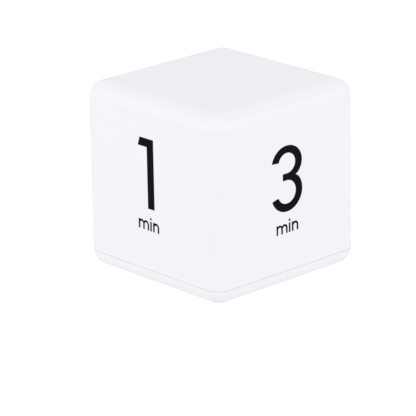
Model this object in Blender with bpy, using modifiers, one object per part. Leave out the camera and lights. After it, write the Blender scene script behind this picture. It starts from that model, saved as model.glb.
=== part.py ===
"""Cube timer: a rounded two-piece case whose base face carries the display, switch and battery door.

Metres, +Z up.  The origin is the centre of the base face.  The 1 minute face looks along -Y,
the 3 minute face along +X, the 5 minute face along +Y and the 10 minute face along -X.
"""
import math

import bmesh
import bpy
from mathutils import Matrix, Vector

# Case
EDGE_RADIUS = 0.0057
WALL = 0.0022
PARTING_HEIGHT = 0.0058
PARTING_GAP = 0.0003
EDGE_STEPS = 6
FIT = 0.0003
OVERRUN = 0.001
WELD_DISTANCE = 0.000001
ROUND_SIDES = 28
SMALL_SIDES = 16
ARC_STEPS = 6

# Locating lip of the base cover
LIP_WALL = 0.0012
LIP_RISE = 0.0020
LIP_ROOT = 0.0005

# Case screws
CASE_SCREW_INSET = 0.0083
SCREW_SHANK_RADIUS = 0.00120
SCREW_HEAD_RADIUS = 0.00215
SCREW_HEAD_HEIGHT = 0.0016
SCREW_DOME = 0.0004
SCREW_LENGTH = 0.0100
SCREW_TIP = 0.0008
COUNTERBORE_RADIUS = 0.0025
COUNTERBORE_DEPTH = 0.0032
BOSS_RADIUS = 0.0037
POST_RADIUS = 0.0030
POST_RIB_WALL = 0.0012
POST_RIB_FOOT = 0.0035

# Battery cells and their well
CELL_RADIUS = 0.00525
CELL_LENGTH = 0.0445
CELL_NUB_RADIUS = 0.0019
CELL_NUB_HEIGHT = 0.0010
CELL_EDGE = 0.0004
CELL_PITCH = 0.0110
WELL_WALL = 0.0012
WELL_BOSS_GAP = 0.00005
WELL_END_ROOM = 0.0029
CONTACT_POCKET = 0.0012
CONTACT_POCKET_HEIGHT = 0.0122

# Battery door
DOOR_THICKNESS = 0.0016
DOOR_RECESS = 0.00015
DOOR_LEDGE = 0.0010
DOOR_CORNER = 0.0010
DOOR_REBATE_CORNER = 0.0006
HINGE_TAB_WIDTH = 0.0060
HINGE_TAB_REACH = 0.0022
HINGE_TAB_THICKNESS = 0.0007
HINGE_TAB_PLACE = 0.0120
HINGE_SKIN = 0.0006
HINGE_POCKET_HEIGHT = 0.0037
DOOR_RIB_WALL = 0.0012
DOOR_RIB_HEIGHT = 0.0012
DOOR_RIB_LENGTH = 0.0400
GRIP_GROOVE_LENGTH = 0.0120
GRIP_GROOVE_WIDTH = 0.0006
GRIP_GROOVE_DEPTH = 0.0004
GRIP_GROOVE_PITCH = 0.0014
GRIP_GROOVES = 3
LATCH_LENGTH = 0.0080
LATCH_RADIUS = 0.00035
LATCH_PROUD = 0.00018
FINGER_NOTCH_RADIUS = 0.0065
FINGER_NOTCH_REACH = 0.0020
FINGER_NOTCH_DEPTH = 0.0011

# Battery contacts
CONTACT_SHEET = 0.0004
CONTACT_WIDTH = 0.0092
CONTACT_HEIGHT = 0.0096
CONTACT_CORNER = 0.0010
CONTACT_TAIL_WIDTH = 0.0024
CONTACT_TAIL_RISE = 0.0045
CONTACT_DIMPLE_RADIUS = 0.0021
CONTACT_DIMPLE_HEIGHT = 0.0005
SPRING_ROOM = 0.0047
SPRING_WIRE_RADIUS = 0.00028
SPRING_BASE_RADIUS = 0.0034
SPRING_TIP_RADIUS = 0.0020
SPRING_TURNS = 3.5
SPRING_POINTS_PER_TURN = 10

# Display
WINDOW_LENS_MARGIN = (0.0005, 0.0008)
WINDOW_LENS_THICKNESS = 0.0010
WINDOW_LENS_CORNER = 0.0015
WINDOW_SEAT = (0.0015, 0.0014)
WINDOW_OPENING_CORNER = 0.0008
WINDOW_RECESS = 0.0001
PANEL_SIZE = (0.0370, 0.0166)
PANEL_GLASS = 0.0010
PANEL_LEDGE = 0.0026
HOLDER_WALL = 0.0012
HOLDER_GAP = 0.00035
ZEBRA_END_GAP = 0.0010
ZEBRA_WIDTH = 0.0014
HOLDER_OPENING_SHARE = 0.8

# Circuit board
BOARD_THICKNESS = 0.0016
BOARD_UNDERSIDE = 0.0070
BOARD_EDGE_GAP = 0.0004
BOARD_END_ROOM = 0.0026
BOARD_BACK_ROOM = 0.0013
BOARD_BACK_MARGIN = 0.0007
BOARD_CORNER = 0.0008
BOARD_NOTCH_GAP = 0.0006
BOARD_SCREW_MARGIN = 0.0030
BOARD_SCREW_ROOM = 0.0020
BOARD_SCREW_SETBACK = 0.00335
BOARD_SCREW_PITCH = 0.0110
BOARD_BOSS_RADIUS = 0.0022
BOARD_SCREW_SHANK_RADIUS = 0.0008
BOARD_SCREW_HEAD_RADIUS = 0.0016
BOARD_SCREW_HEAD_HEIGHT = 0.0010
BOARD_SCREW_LENGTH = 0.0048
CHIP_COVER_RADIUS = 0.0050
CHIP_COVER_HEIGHT = 0.0014
CHIP_COVER_SETBACK = 0.00875
CRYSTAL_RADIUS = 0.0010
CRYSTAL_LENGTH = 0.0060
CRYSTAL_SETBACK = 0.01655

# Power switch
SWITCH_ROOM = 0.0012
SWITCH_TRAVEL = 0.0020
SWITCH_RECESS = (0.0106, 0.0034)
SWITCH_RECESS_DEPTH = 0.0009
SWITCH_RECESS_CORNER = 0.0008
KNOB_GRIP = (0.0040, 0.0018)
KNOB_GRIP_RECESS = 0.0002
KNOB_PLATE = (0.0090, 0.0034)
KNOB_PLATE_THICKNESS = 0.0008
KNOB_SOCKET_WALL = 0.0006
KNOB_SOCKET_HEIGHT = 0.0007
KNOB_RIDGES = 3
KNOB_RIDGE_GROOVE = 0.0004
SWITCH_FRAME = (0.0086, 0.0036)
SWITCH_FRAME_HEIGHT = 0.0024
SWITCH_FRAME_WALL = 0.0004
ACTUATOR_PLATE = (0.0034, 0.0022)
ACTUATOR_PLATE_THICKNESS = 0.0011
ACTUATOR_LEVER = (0.0014, 0.0014)

# Tilt switches
TILT_CAN_RADIUS = 0.0025
TILT_CAN_WALL = 0.0004
TILT_CAN_LENGTH = 0.0100
TILT_PLUG_DEPTH = 0.0016
TILT_PLUG_COLLAR = 0.0006
TILT_BALL_RADIUS = 0.0018
TILT_X_CAN_X = 0.0140
TILT_X_CAN_SETBACK = 0.00315
TILT_Y_CAN_X = 0.0120
TILT_Y_CAN_SETBACK = 0.01455

# Buzzer
PIEZO_PLATE_RADIUS = 0.0135
PIEZO_PLATE_THICKNESS = 0.0004
PIEZO_ELEMENT_RADIUS = 0.0098
PIEZO_ELEMENT_THICKNESS = 0.0004
PIEZO_RING_WALL = 0.0010
PIEZO_RING_DEPTH = 0.0022

# Hook-up wires
WIRE_RADIUS = 0.0005
WIRE_POINTS_PER_STRETCH = 5

# Battery well, from the cells and their contacts
WELL_LENGTH = CELL_LENGTH + SPRING_ROOM + CONTACT_DIMPLE_HEIGHT + 2 * CONTACT_SHEET + 3 * FIT
WELL_RADIUS = CELL_RADIUS + FIT
WELL_HALF_WIDTH = CELL_PITCH / 2 + WELL_RADIUS
WELL_HALF_LENGTH = WELL_LENGTH / 2
WELL_OUTER_HALF_WIDTH = WELL_HALF_WIDTH + WELL_WALL
WELL_OUTER_HALF_LENGTH = WELL_HALF_LENGTH + WELL_WALL
CONTACT_FACE_X = WELL_HALF_LENGTH - FIT - CONTACT_SHEET

# Board, from the display and the slide switch under it
HOLDER_INNER = (PANEL_SIZE[0] + 2 * FIT, PANEL_SIZE[1] + 2 * FIT)
HOLDER_OUTER = (HOLDER_INNER[0] + 2 * HOLDER_WALL, HOLDER_INNER[1] + 2 * HOLDER_WALL)
BOARD_SCREW_X = HOLDER_OUTER[0] / 2 + BOARD_SCREW_ROOM + BOARD_BOSS_RADIUS
BOARD_HALF_LENGTH = BOARD_SCREW_X + BOARD_SCREW_MARGIN
BOARD_DEPTH = (HOLDER_GAP + HOLDER_OUTER[1] + SWITCH_ROOM + SWITCH_FRAME[1] + BOARD_BACK_MARGIN
               - BOARD_EDGE_GAP)

# The cube is as wide as what it holds needs, along X or along Y
EDGE_ROOM = WALL + FIT + LIP_WALL
HALF_LENGTH_HELD = max(WELL_OUTER_HALF_LENGTH + WELL_END_ROOM, BOARD_HALF_LENGTH + BOARD_END_ROOM)
WIDTH_ALONG_X = 2 * (HALF_LENGTH_HELD + EDGE_ROOM)
WIDTH_ALONG_Y = (CASE_SCREW_INSET + BOSS_RADIUS + WELL_BOSS_GAP + 2 * WELL_OUTER_HALF_WIDTH + BOARD_EDGE_GAP
                 + BOARD_DEPTH + BOARD_BACK_ROOM + EDGE_ROOM)
CUBE_SIDE = max(WIDTH_ALONG_X, WIDTH_ALONG_Y)
HALF = CUBE_SIDE / 2
INNER_HALF = HALF - WALL
COVER_RIM = PARTING_HEIGHT - PARTING_GAP / 2
SHELL_RIM = PARTING_HEIGHT + PARTING_GAP / 2
LIP_OUTER = INNER_HALF - FIT
LIP_INNER = LIP_OUTER - LIP_WALL
LIP_TOP = COVER_RIM + LIP_RISE
SCREW_PLACE = HALF - CASE_SCREW_INSET
TOP_INSIDE = CUBE_SIDE - WALL

# Places of the cells and their door
WELL_CENTRE_Y = BOSS_RADIUS + WELL_BOSS_GAP + WELL_OUTER_HALF_WIDTH - SCREW_PLACE
CELL_Y = (WELL_CENTRE_Y - CELL_PITCH / 2, WELL_CENTRE_Y + CELL_PITCH / 2)
CELL_FLOOR = DOOR_RECESS + DOOR_THICKNESS + FIT
CELL_AXIS_Z = CELL_FLOOR + CELL_RADIUS
CONTACT_FLOOR = CELL_FLOOR
DOOR_HALF_LENGTH = WELL_HALF_LENGTH + DOOR_LEDGE
DOOR_HALF_WIDTH = WELL_HALF_WIDTH + DOOR_LEDGE
DOOR_TOP = DOOR_RECESS + DOOR_THICKNESS
DOOR_FAR_Y = WELL_CENTRE_Y + DOOR_HALF_WIDTH
HINGE_RADIUS = DOOR_THICKNESS / 2
HINGE_AXIS_Y = WELL_CENTRE_Y - DOOR_HALF_WIDTH + HINGE_RADIUS
HINGE_AXIS_Z = DOOR_RECESS + HINGE_RADIUS

# Places of the display, the board and what it carries
WINDOW_CENTRE_Y = WELL_CENTRE_Y + WELL_OUTER_HALF_WIDTH + HOLDER_GAP + HOLDER_OUTER[1] / 2
WINDOW_LENS = (PANEL_SIZE[0] - 2 * WINDOW_LENS_MARGIN[0], PANEL_SIZE[1] - 2 * WINDOW_LENS_MARGIN[1])
WINDOW_OPENING = (WINDOW_LENS[0] - 2 * WINDOW_SEAT[0], WINDOW_LENS[1] - 2 * WINDOW_SEAT[1])
WINDOW_LENS_TOP = WINDOW_RECESS + WINDOW_LENS_THICKNESS
WINDOW_REBATE_TOP = WINDOW_LENS_TOP + FIT
PANEL_FLOOR = WALL + FIT
PANEL_LEDGE_TOP = PANEL_FLOOR + PANEL_GLASS
PANEL_TOP = PANEL_FLOOR + 2 * PANEL_GLASS
ZEBRA_LENGTH = PANEL_SIZE[0] - 2 * ZEBRA_END_GAP
HOLDER_TOP = BOARD_UNDERSIDE - FIT
BOARD_TOP = BOARD_UNDERSIDE + BOARD_THICKNESS
BOARD_FRONT_Y = WELL_CENTRE_Y + WELL_OUTER_HALF_WIDTH + BOARD_EDGE_GAP
BOARD_BACK_Y = BOARD_FRONT_Y + BOARD_DEPTH
BOARD_BOSS_TOP = BOARD_UNDERSIDE - FIT
BOARD_SCREW_Y = (BOARD_FRONT_Y + BOARD_SCREW_SETBACK, BOARD_FRONT_Y + BOARD_SCREW_SETBACK + BOARD_SCREW_PITCH)
SWITCH_Y = WINDOW_CENTRE_Y + HOLDER_OUTER[1] / 2 + SWITCH_ROOM + SWITCH_FRAME[1] / 2
SWITCH_FRAME_TOP = BOARD_UNDERSIDE - FIT
SWITCH_FRAME_BOTTOM = SWITCH_FRAME_TOP - SWITCH_FRAME_HEIGHT
KNOB_REST_X = -SWITCH_TRAVEL / 2
KNOB_PLATE_BOTTOM = WALL + FIT
KNOB_PLATE_TOP = KNOB_PLATE_BOTTOM + KNOB_PLATE_THICKNESS
TILT_AXIS_Z = BOARD_TOP + FIT + TILT_CAN_RADIUS
TILT_BORE = TILT_CAN_RADIUS - TILT_CAN_WALL

# Places of the buzzer
PIEZO_PLATE_TOP = TOP_INSIDE - FIT
PIEZO_PLATE_BOTTOM = PIEZO_PLATE_TOP - PIEZO_PLATE_THICKNESS
PIEZO_ELEMENT_TOP = PIEZO_PLATE_BOTTOM - FIT
PIEZO_ELEMENT_BOTTOM = PIEZO_ELEMENT_TOP - PIEZO_ELEMENT_THICKNESS
PIEZO_RING_RADIUS = PIEZO_PLATE_RADIUS + FIT


def clear_scene():
    for old in list(bpy.data.objects):
        bpy.data.objects.remove(old, do_unlink=True)


def make_collection(name):
    collection = bpy.data.collections.new(name)
    bpy.context.scene.collection.children.link(collection)
    return collection


def make_material(name, colour, roughness, metallic=0.0, transmission=0.0):
    material = bpy.data.materials.new(name)
    material.use_nodes = True
    shader = material.node_tree.nodes["Principled BSDF"]
    shader.inputs["Base Color"].default_value = (*colour, 1.0)
    shader.inputs["Roughness"].default_value = roughness
    shader.inputs["Metallic"].default_value = metallic
    shader.inputs["Transmission Weight"].default_value = transmission
    material.diffuse_color = (*colour, 1.0)
    return material


clear_scene()
PARTS = make_collection("cube_timer")
CUTTERS = make_collection("cutters")
WHITE_PLASTIC = make_material("white_plastic", (0.88, 0.87, 0.90), 0.42)
BLACK_PLASTIC = make_material("black_plastic", (0.03, 0.03, 0.035), 0.5)
CLEAR_PLASTIC = make_material("clear_plastic", (0.85, 0.87, 0.86), 0.08, 0.0, 0.9)
DISPLAY_GLASS = make_material("display_glass", (0.42, 0.46, 0.40), 0.15)
STEEL = make_material("steel", (0.62, 0.62, 0.63), 0.3, 1.0)
NICKEL = make_material("nickel", (0.70, 0.68, 0.64), 0.25, 1.0)
BRASS = make_material("brass", (0.78, 0.60, 0.30), 0.3, 1.0)
BOARD_GREEN = make_material("board_green", (0.03, 0.20, 0.09), 0.45)
RESIN_BLACK = make_material("resin_black", (0.015, 0.015, 0.017), 0.25)
RUBBER_GREY = make_material("rubber_grey", (0.18, 0.18, 0.19), 0.7)
CERAMIC_WHITE = make_material("ceramic_white", (0.80, 0.78, 0.72), 0.4)
CELL_WRAP = make_material("cell_wrap", (0.10, 0.12, 0.16), 0.35)
WIRE_RED = make_material("wire_red", (0.55, 0.03, 0.03), 0.45)
WIRE_BLACK = make_material("wire_black", (0.02, 0.02, 0.02), 0.45)


def place_object(name, mesh, material, place=(0, 0, 0)):
    """A named part in the timer's own collection."""
    obj = bpy.data.objects.new(name, mesh)
    obj.location = place
    if material is not None and not mesh.materials:
        mesh.materials.append(material)
    PARTS.objects.link(obj)
    return obj


def make_tool(name, mesh):
    """A hidden shape that a Boolean adds to a part or takes from it."""
    obj = bpy.data.objects.new(name, mesh)
    obj.hide_render = True
    obj.display_type = "WIRE"
    CUTTERS.objects.link(obj)
    return obj


def apply_boolean(target, tool, operation):
    modifier = target.modifiers.new(tool.name, "BOOLEAN")
    modifier.operation = operation
    modifier.solver = "EXACT"
    modifier.object = tool


def add(target, tool):
    apply_boolean(target, tool, "UNION")


def cut(target, tool):
    apply_boolean(target, tool, "DIFFERENCE")


def finish_bmesh(name, bm):
    mesh = bpy.data.meshes.new(name)
    bm.to_mesh(mesh)
    bm.free()
    return mesh


def box_mesh(name, low, high):
    """A block between two corners."""
    bm = bmesh.new()
    bmesh.ops.create_cube(bm, size=1)
    size = Vector(high) - Vector(low)
    middle = (Vector(high) + Vector(low)) / 2
    bmesh.ops.transform(bm, matrix=Matrix.Translation(middle) @ Matrix.Diagonal((*size, 1)), verts=bm.verts)
    return finish_bmesh(name, bm)


def centred_box(name, centre, size, bottom, top):
    """A block given by its centre and size in plan and by its heights."""
    low = (centre[0] - size[0] / 2, centre[1] - size[1] / 2, bottom)
    high = (centre[0] + size[0] / 2, centre[1] + size[1] / 2, top)
    return box_mesh(name, low, high)


def rod_mesh(name, places, radius, bottom, top, sides=SMALL_SIDES):
    """Upright cylinders at one or more places."""
    bm = bmesh.new()
    for x, y in places:
        matrix = Matrix.Translation((x, y, (bottom + top) / 2))
        bmesh.ops.create_cone(bm, cap_ends=True, segments=sides, radius1=radius, radius2=radius,
                              depth=top - bottom, matrix=matrix)
    return finish_bmesh(name, bm)


def arc(centre, radius, start, end, steps=ARC_STEPS):
    """Points of an arc, angles in degrees."""
    angles = [math.radians(start + (end - start) * i / steps) for i in range(steps + 1)]
    return [(centre[0] + radius * math.cos(a), centre[1] + radius * math.sin(a)) for a in angles]


def rounded_rectangle(centre, size, radius, steps=ARC_STEPS):
    half_x = size[0] / 2 - radius
    half_y = size[1] / 2 - radius
    points = []
    for quarter, (sx, sy) in enumerate(((1, 1), (-1, 1), (-1, -1), (1, -1))):
        corner = (centre[0] + sx * half_x, centre[1] + sy * half_y)
        points += arc(corner, radius, 90 * quarter, 90 * quarter + 90, steps)
    return points


def outline_mesh(name, outlines, bottom, top, turn=None):
    """A flat outline, with any holes as further outlines, extruded between two heights."""
    curve = bpy.data.curves.new(name + "_outline", "CURVE")
    curve.dimensions = "2D"
    curve.fill_mode = "BOTH"
    curve.extrude = (top - bottom) / 2
    for outline in outlines:
        spline = curve.splines.new("POLY")
        spline.points.add(len(outline) - 1)
        for point, (x, y) in zip(spline.points, outline):
            point.co = (x, y, 0, 1)
        spline.use_cyclic_u = True
    return mesh_from_curve(name, curve, Matrix.Translation((0, 0, (top + bottom) / 2)), turn)


def mesh_from_curve(name, curve, lift, turn=None):
    """The closed mesh of a curve, with its caps welded on."""
    guide = bpy.data.objects.new(name + "_guide", curve)
    CUTTERS.objects.link(guide)
    bpy.context.view_layer.update()
    evaluated = guide.evaluated_get(bpy.context.evaluated_depsgraph_get())
    mesh = bpy.data.meshes.new_from_object(evaluated)
    bpy.data.objects.remove(guide, do_unlink=True)
    mesh.name = name
    bm = bmesh.new()
    bm.from_mesh(mesh)
    bmesh.ops.transform(bm, matrix=lift if turn is None else turn @ lift, verts=bm.verts)
    bmesh.ops.remove_doubles(bm, verts=bm.verts, dist=WELD_DISTANCE)
    bmesh.ops.recalc_face_normals(bm, faces=bm.faces)
    bm.to_mesh(mesh)
    bm.free()
    mesh.materials.clear()
    return mesh


def turned_mesh(name, profile, sides=SMALL_SIDES):
    """A profile of (radius, height) points, top to bottom, turned about Z."""
    bm = bmesh.new()
    verts = [bm.verts.new((radius, 0, height)) for radius, height in profile]
    for first, second in zip(verts, verts[1:]):
        bm.edges.new((first, second))
    mesh = finish_bmesh(name + "_profile", bm)
    guide = bpy.data.objects.new(name + "_guide", mesh)
    CUTTERS.objects.link(guide)
    screw = guide.modifiers.new("turn", "SCREW")
    screw.axis = "Z"
    screw.steps = sides
    screw.render_steps = sides
    screw.use_merge_vertices = True
    screw.merge_threshold = WELD_DISTANCE
    bpy.context.view_layer.update()
    evaluated = guide.evaluated_get(bpy.context.evaluated_depsgraph_get())
    turned = bpy.data.meshes.new_from_object(evaluated)
    bpy.data.objects.remove(guide, do_unlink=True)
    turned.name = name
    bm = bmesh.new()
    bm.from_mesh(turned)
    bmesh.ops.remove_doubles(bm, verts=bm.verts, dist=WELD_DISTANCE)
    bm.to_mesh(turned)
    bm.free()
    return turned


def smooth(obj, angle=30):
    obj.data.shade_smooth()
    obj.data.set_sharp_from_angle(angle=math.radians(angle))


def open_case_mesh(name, bottom, top, open_end):
    """A cube's faces without the one at the open end."""
    bm = bmesh.new()
    bmesh.ops.create_cube(bm, size=1)
    size = Matrix.Diagonal((CUBE_SIDE, CUBE_SIDE, top - bottom, 1))
    matrix = Matrix.Translation((0, 0, (bottom + top) / 2)) @ size
    bmesh.ops.transform(bm, matrix=matrix, verts=bm.verts)
    bm.faces.ensure_lookup_table()
    opening = [face for face in bm.faces if face.normal.z * open_end > 0.5]
    bmesh.ops.delete(bm, geom=opening, context="FACES_ONLY")
    return finish_bmesh(name, bm)


def round_and_thicken(obj):
    bevel = obj.modifiers.new("round_edges", "BEVEL")
    bevel.width = EDGE_RADIUS
    bevel.segments = EDGE_STEPS
    bevel.limit_method = "ANGLE"
    bevel.use_clamp_overlap = True
    shell = obj.modifiers.new("wall", "SOLIDIFY")
    shell.thickness = WALL
    shell.offset = -1
    shell.use_even_offset = True


def corner_places(x, y):
    return [(sx * x, sy * y) for sx in (-1, 1) for sy in (-1, 1)]


def make_housing_shell():
    mesh = open_case_mesh("housing_shell", SHELL_RIM, CUBE_SIDE, -1)
    shell = place_object("housing_shell", mesh, WHITE_PLASTIC)
    round_and_thicken(shell)
    places = corner_places(SCREW_PLACE, SCREW_PLACE)
    posts = rod_mesh("screw_posts", places, POST_RADIUS, SHELL_RIM, TOP_INSIDE + LIP_ROOT)
    add(shell, make_tool("screw_posts", posts))
    rib_start = LIP_TOP + POST_RIB_FOOT
    for number, (x, y) in enumerate(places):
        toward_x = math.copysign(INNER_HALF + LIP_ROOT, x)
        toward_y = math.copysign(INNER_HALF + LIP_ROOT, y)
        low = (min(x, toward_x), y - POST_RIB_WALL / 2, rib_start)
        high = (max(x, toward_x), y + POST_RIB_WALL / 2, TOP_INSIDE + LIP_ROOT)
        add(shell, make_tool(f"post_rib_x_{number}", box_mesh("post_rib_x", low, high)))
        low = (x - POST_RIB_WALL / 2, min(y, toward_y), rib_start)
        high = (x + POST_RIB_WALL / 2, max(y, toward_y), TOP_INSIDE + LIP_ROOT)
        add(shell, make_tool(f"post_rib_y_{number}", box_mesh("post_rib_y", low, high)))
    circles = [arc((0, 0), radius, 0, 360, ROUND_SIDES)[:-1]
               for radius in (PIEZO_RING_RADIUS + PIEZO_RING_WALL, PIEZO_RING_RADIUS)]
    ring = outline_mesh("piezo_ring", circles, TOP_INSIDE - PIEZO_RING_DEPTH, TOP_INSIDE + LIP_ROOT)
    add(shell, make_tool("piezo_ring", ring))
    pilot = rod_mesh("screw_pilots", places, SCREW_SHANK_RADIUS + FIT, SHELL_RIM - OVERRUN,
                     COUNTERBORE_DEPTH + SCREW_LENGTH + OVERRUN)
    cut(shell, make_tool("screw_pilots", pilot))
    smooth(shell)
    return shell


def well_outline(radius):
    """The two round-topped bays of the battery well, seen along X: (y, z) points."""
    half_valley = math.acos(CELL_PITCH / 2 / radius)
    lift = math.degrees(half_valley)
    left = arc((CELL_Y[0], CELL_AXIS_Z), radius, 180, lift, ARC_STEPS * 2)
    right = arc((CELL_Y[1], CELL_AXIS_Z), radius, 180 - lift, 0, ARC_STEPS * 2)
    return left + right[1:]


def along_x():
    """Turns an outline drawn in (y, z) so that its thickness runs along X."""
    return Matrix(((0, 0, 1, 0), (1, 0, 0, 0), (0, 1, 0, 0), (0, 0, 0, 1)))


def well_block(name, radius, half_length, foot):
    outline = well_outline(radius)
    outline = [(outline[0][0], foot)] + outline + [(outline[-1][0], foot)]
    return outline_mesh(name, [outline], -half_length, half_length, along_x())


def make_base_cover():
    cover = place_object("base_cover", open_case_mesh("base_cover", 0, CUBE_SIDE / 2, 1), WHITE_PLASTIC)
    round_and_thicken(cover)
    cut(cover, make_tool("above_rim", box_mesh("above_rim", (-HALF - OVERRUN, -HALF - OVERRUN, COVER_RIM),
                                               (HALF + OVERRUN, HALF + OVERRUN, CUBE_SIDE))))
    lip_radius = EDGE_RADIUS - WALL - FIT
    inner = rounded_rectangle((0, 0), (2 * LIP_INNER, 2 * LIP_INNER), lip_radius - LIP_WALL)
    root_half = INNER_HALF + LIP_ROOT
    root = rounded_rectangle((0, 0), (2 * root_half, 2 * root_half), EDGE_RADIUS - WALL + LIP_ROOT)
    lip = rounded_rectangle((0, 0), (2 * LIP_OUTER, 2 * LIP_OUTER), lip_radius)
    cover_root_top = COVER_RIM - FIT
    lip_root = outline_mesh("lip_root", [root, inner], EDGE_RADIUS / 2, cover_root_top)
    add(cover, make_tool("lip_root", lip_root))
    add(cover, make_tool("lip", outline_mesh("lip", [lip, inner], cover_root_top - LIP_ROOT, LIP_TOP)))
    add_cover_bosses(cover)
    cut_cover_openings(cover)
    smooth(cover)
    return cover


def add_cover_bosses(cover):
    places = corner_places(SCREW_PLACE, SCREW_PLACE)
    bosses = rod_mesh("cover_bosses", places, BOSS_RADIUS, WALL - LIP_ROOT, COVER_RIM)
    add(cover, make_tool("cover_bosses", bosses))
    well = well_block("well_walls", WELL_RADIUS + WELL_WALL, WELL_OUTER_HALF_LENGTH, WALL - LIP_ROOT)
    add(cover, make_tool("well_walls", well))
    ends = box_mesh("well_ends", (-WELL_OUTER_HALF_LENGTH, WELL_CENTRE_Y - WELL_HALF_WIDTH, WALL - LIP_ROOT),
                    (WELL_OUTER_HALF_LENGTH, WELL_CENTRE_Y + WELL_HALF_WIDTH,
                     CONTACT_POCKET_HEIGHT + WELL_WALL))
    middle = box_mesh("between_ends", (-WELL_HALF_LENGTH + CONTACT_POCKET + WELL_WALL, -HALF, 0),
                      (WELL_HALF_LENGTH - CONTACT_POCKET - WELL_WALL, HALF, CUBE_SIDE))
    end_blocks = make_tool("well_ends", ends)
    cut(end_blocks, make_tool("between_ends", middle))
    add(cover, end_blocks)
    board_places = [(sx * BOARD_SCREW_X, y) for sx in (-1, 1) for y in BOARD_SCREW_Y]
    board_bosses = rod_mesh("board_bosses", board_places, BOARD_BOSS_RADIUS, WALL - LIP_ROOT, BOARD_BOSS_TOP)
    add(cover, make_tool("board_bosses", board_bosses))
    pilots = rod_mesh("board_pilots", board_places, BOARD_SCREW_SHANK_RADIUS + FIT,
                      BOARD_TOP - BOARD_SCREW_LENGTH - OVERRUN / 2, BOARD_BOSS_TOP + OVERRUN)
    cut(cover, make_tool("board_pilots", pilots))


def cut_cover_openings(cover):
    places = corner_places(SCREW_PLACE, SCREW_PLACE)
    bores = rod_mesh("counterbores", places, COUNTERBORE_RADIUS, -OVERRUN, COUNTERBORE_DEPTH, ROUND_SIDES)
    cut(cover, make_tool("counterbores", bores))
    holes = rod_mesh("screw_holes", places, SCREW_SHANK_RADIUS + FIT, 0, COVER_RIM + OVERRUN)
    cut(cover, make_tool("screw_holes", holes))
    cut_battery_bay(cover)
    centre = (0, WINDOW_CENTRE_Y)
    rebate_size = (WINDOW_LENS[0] + 2 * FIT, WINDOW_LENS[1] + 2 * FIT)
    outline = rounded_rectangle(centre, rebate_size, WINDOW_LENS_CORNER + FIT)
    rebate = outline_mesh("window_rebate", [outline], -OVERRUN, WINDOW_REBATE_TOP)
    cut(cover, make_tool("window_rebate", rebate))
    opening = rounded_rectangle(centre, WINDOW_OPENING, WINDOW_OPENING_CORNER)
    cut(cover, make_tool("window_opening", outline_mesh("window_opening", [opening], 0, WALL + OVERRUN)))
    outline = rounded_rectangle((0, SWITCH_Y), SWITCH_RECESS, SWITCH_RECESS_CORNER)
    recess = outline_mesh("switch_recess", [outline], -OVERRUN, SWITCH_RECESS_DEPTH)
    cut(cover, make_tool("switch_recess", recess))
    slot_size = (KNOB_GRIP[0] + SWITCH_TRAVEL + 2 * FIT, KNOB_GRIP[1] + 2 * FIT)
    slot = centred_box("switch_slot", (0, SWITCH_Y), slot_size, 0, WALL + OVERRUN)
    cut(cover, make_tool("switch_slot", slot))


def cut_battery_bay(cover):
    rebate_size = (2 * (DOOR_HALF_LENGTH + FIT), 2 * (DOOR_HALF_WIDTH + FIT))
    rebate = rounded_rectangle((0, WELL_CENTRE_Y), rebate_size, DOOR_REBATE_CORNER)
    cut(cover, make_tool("door_rebate", outline_mesh("door_rebate", [rebate], -OVERRUN, DOOR_TOP + FIT)))
    bay = well_block("battery_bay", WELL_RADIUS, WELL_HALF_LENGTH - CONTACT_POCKET, 0)
    cut(cover, make_tool("battery_bay", bay))
    for side in (-1, 1):
        near = WELL_HALF_LENGTH - CONTACT_POCKET - OVERRUN
        low = (min(side * near, side * WELL_HALF_LENGTH), WELL_CENTRE_Y - WELL_HALF_WIDTH + FIT, 0)
        high = (max(side * near, side * WELL_HALF_LENGTH), WELL_CENTRE_Y + WELL_HALF_WIDTH - FIT,
                CONTACT_POCKET_HEIGHT)
        cut(cover, make_tool(f"contact_pocket_{side}", box_mesh("contact_pocket", low, high)))
    for number, y in enumerate(CELL_Y):
        size = (CONTACT_SHEET + 2 * FIT, CONTACT_TAIL_WIDTH + 2 * FIT)
        centre = (CONTACT_FACE_X + CONTACT_SHEET / 2, y)
        tail = centred_box("tail_slot", centre, size, CELL_AXIS_Z, CUBE_SIDE / 2)
        cut(cover, make_tool(f"tail_slot_{number}", tail))
    for number, side in enumerate((-1, 1)):
        centre_x = side * HINGE_TAB_PLACE
        half = HINGE_TAB_WIDTH / 2 + FIT
        far = HINGE_AXIS_Y - HINGE_TAB_REACH - 2 * FIT
        low = (centre_x - half, far, DOOR_RECESS + HINGE_SKIN)
        high = (centre_x + half, HINGE_AXIS_Y + HINGE_TAB_REACH / 2, HINGE_POCKET_HEIGHT)
        cut(cover, make_tool(f"hinge_pocket_{number}", box_mesh("hinge_pocket", low, high)))
    notch_centre = (0, DOOR_FAR_Y + FIT + FINGER_NOTCH_REACH - FINGER_NOTCH_RADIUS)
    notch = rod_mesh("finger_notch", [notch_centre], FINGER_NOTCH_RADIUS, -OVERRUN, FINGER_NOTCH_DEPTH,
                     ROUND_SIDES)
    cut(cover, make_tool("finger_notch", notch))


def make_screw(name, place, shank_radius, head_radius, head_height, length, seat, upside_down):
    """A pan-head screw, its head's underside on the seat and its shank away from the head."""
    dome = head_height * SCREW_DOME / SCREW_HEAD_HEIGHT
    profile = [
        (0, head_height),
        (head_radius - dome, head_height),
        (head_radius, head_height - dome),
        (head_radius, 0),
        (shank_radius, 0),
        (shank_radius, SCREW_TIP - length),
        (shank_radius - SCREW_TIP / 2, -length),
        (0, -length),
    ]
    screw = place_object(name, turned_mesh(name, profile, SMALL_SIDES), STEEL, (*place, seat))
    if upside_down:
        screw.rotation_euler = (math.pi, 0, 0)
    smooth(screw)
    return screw


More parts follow.
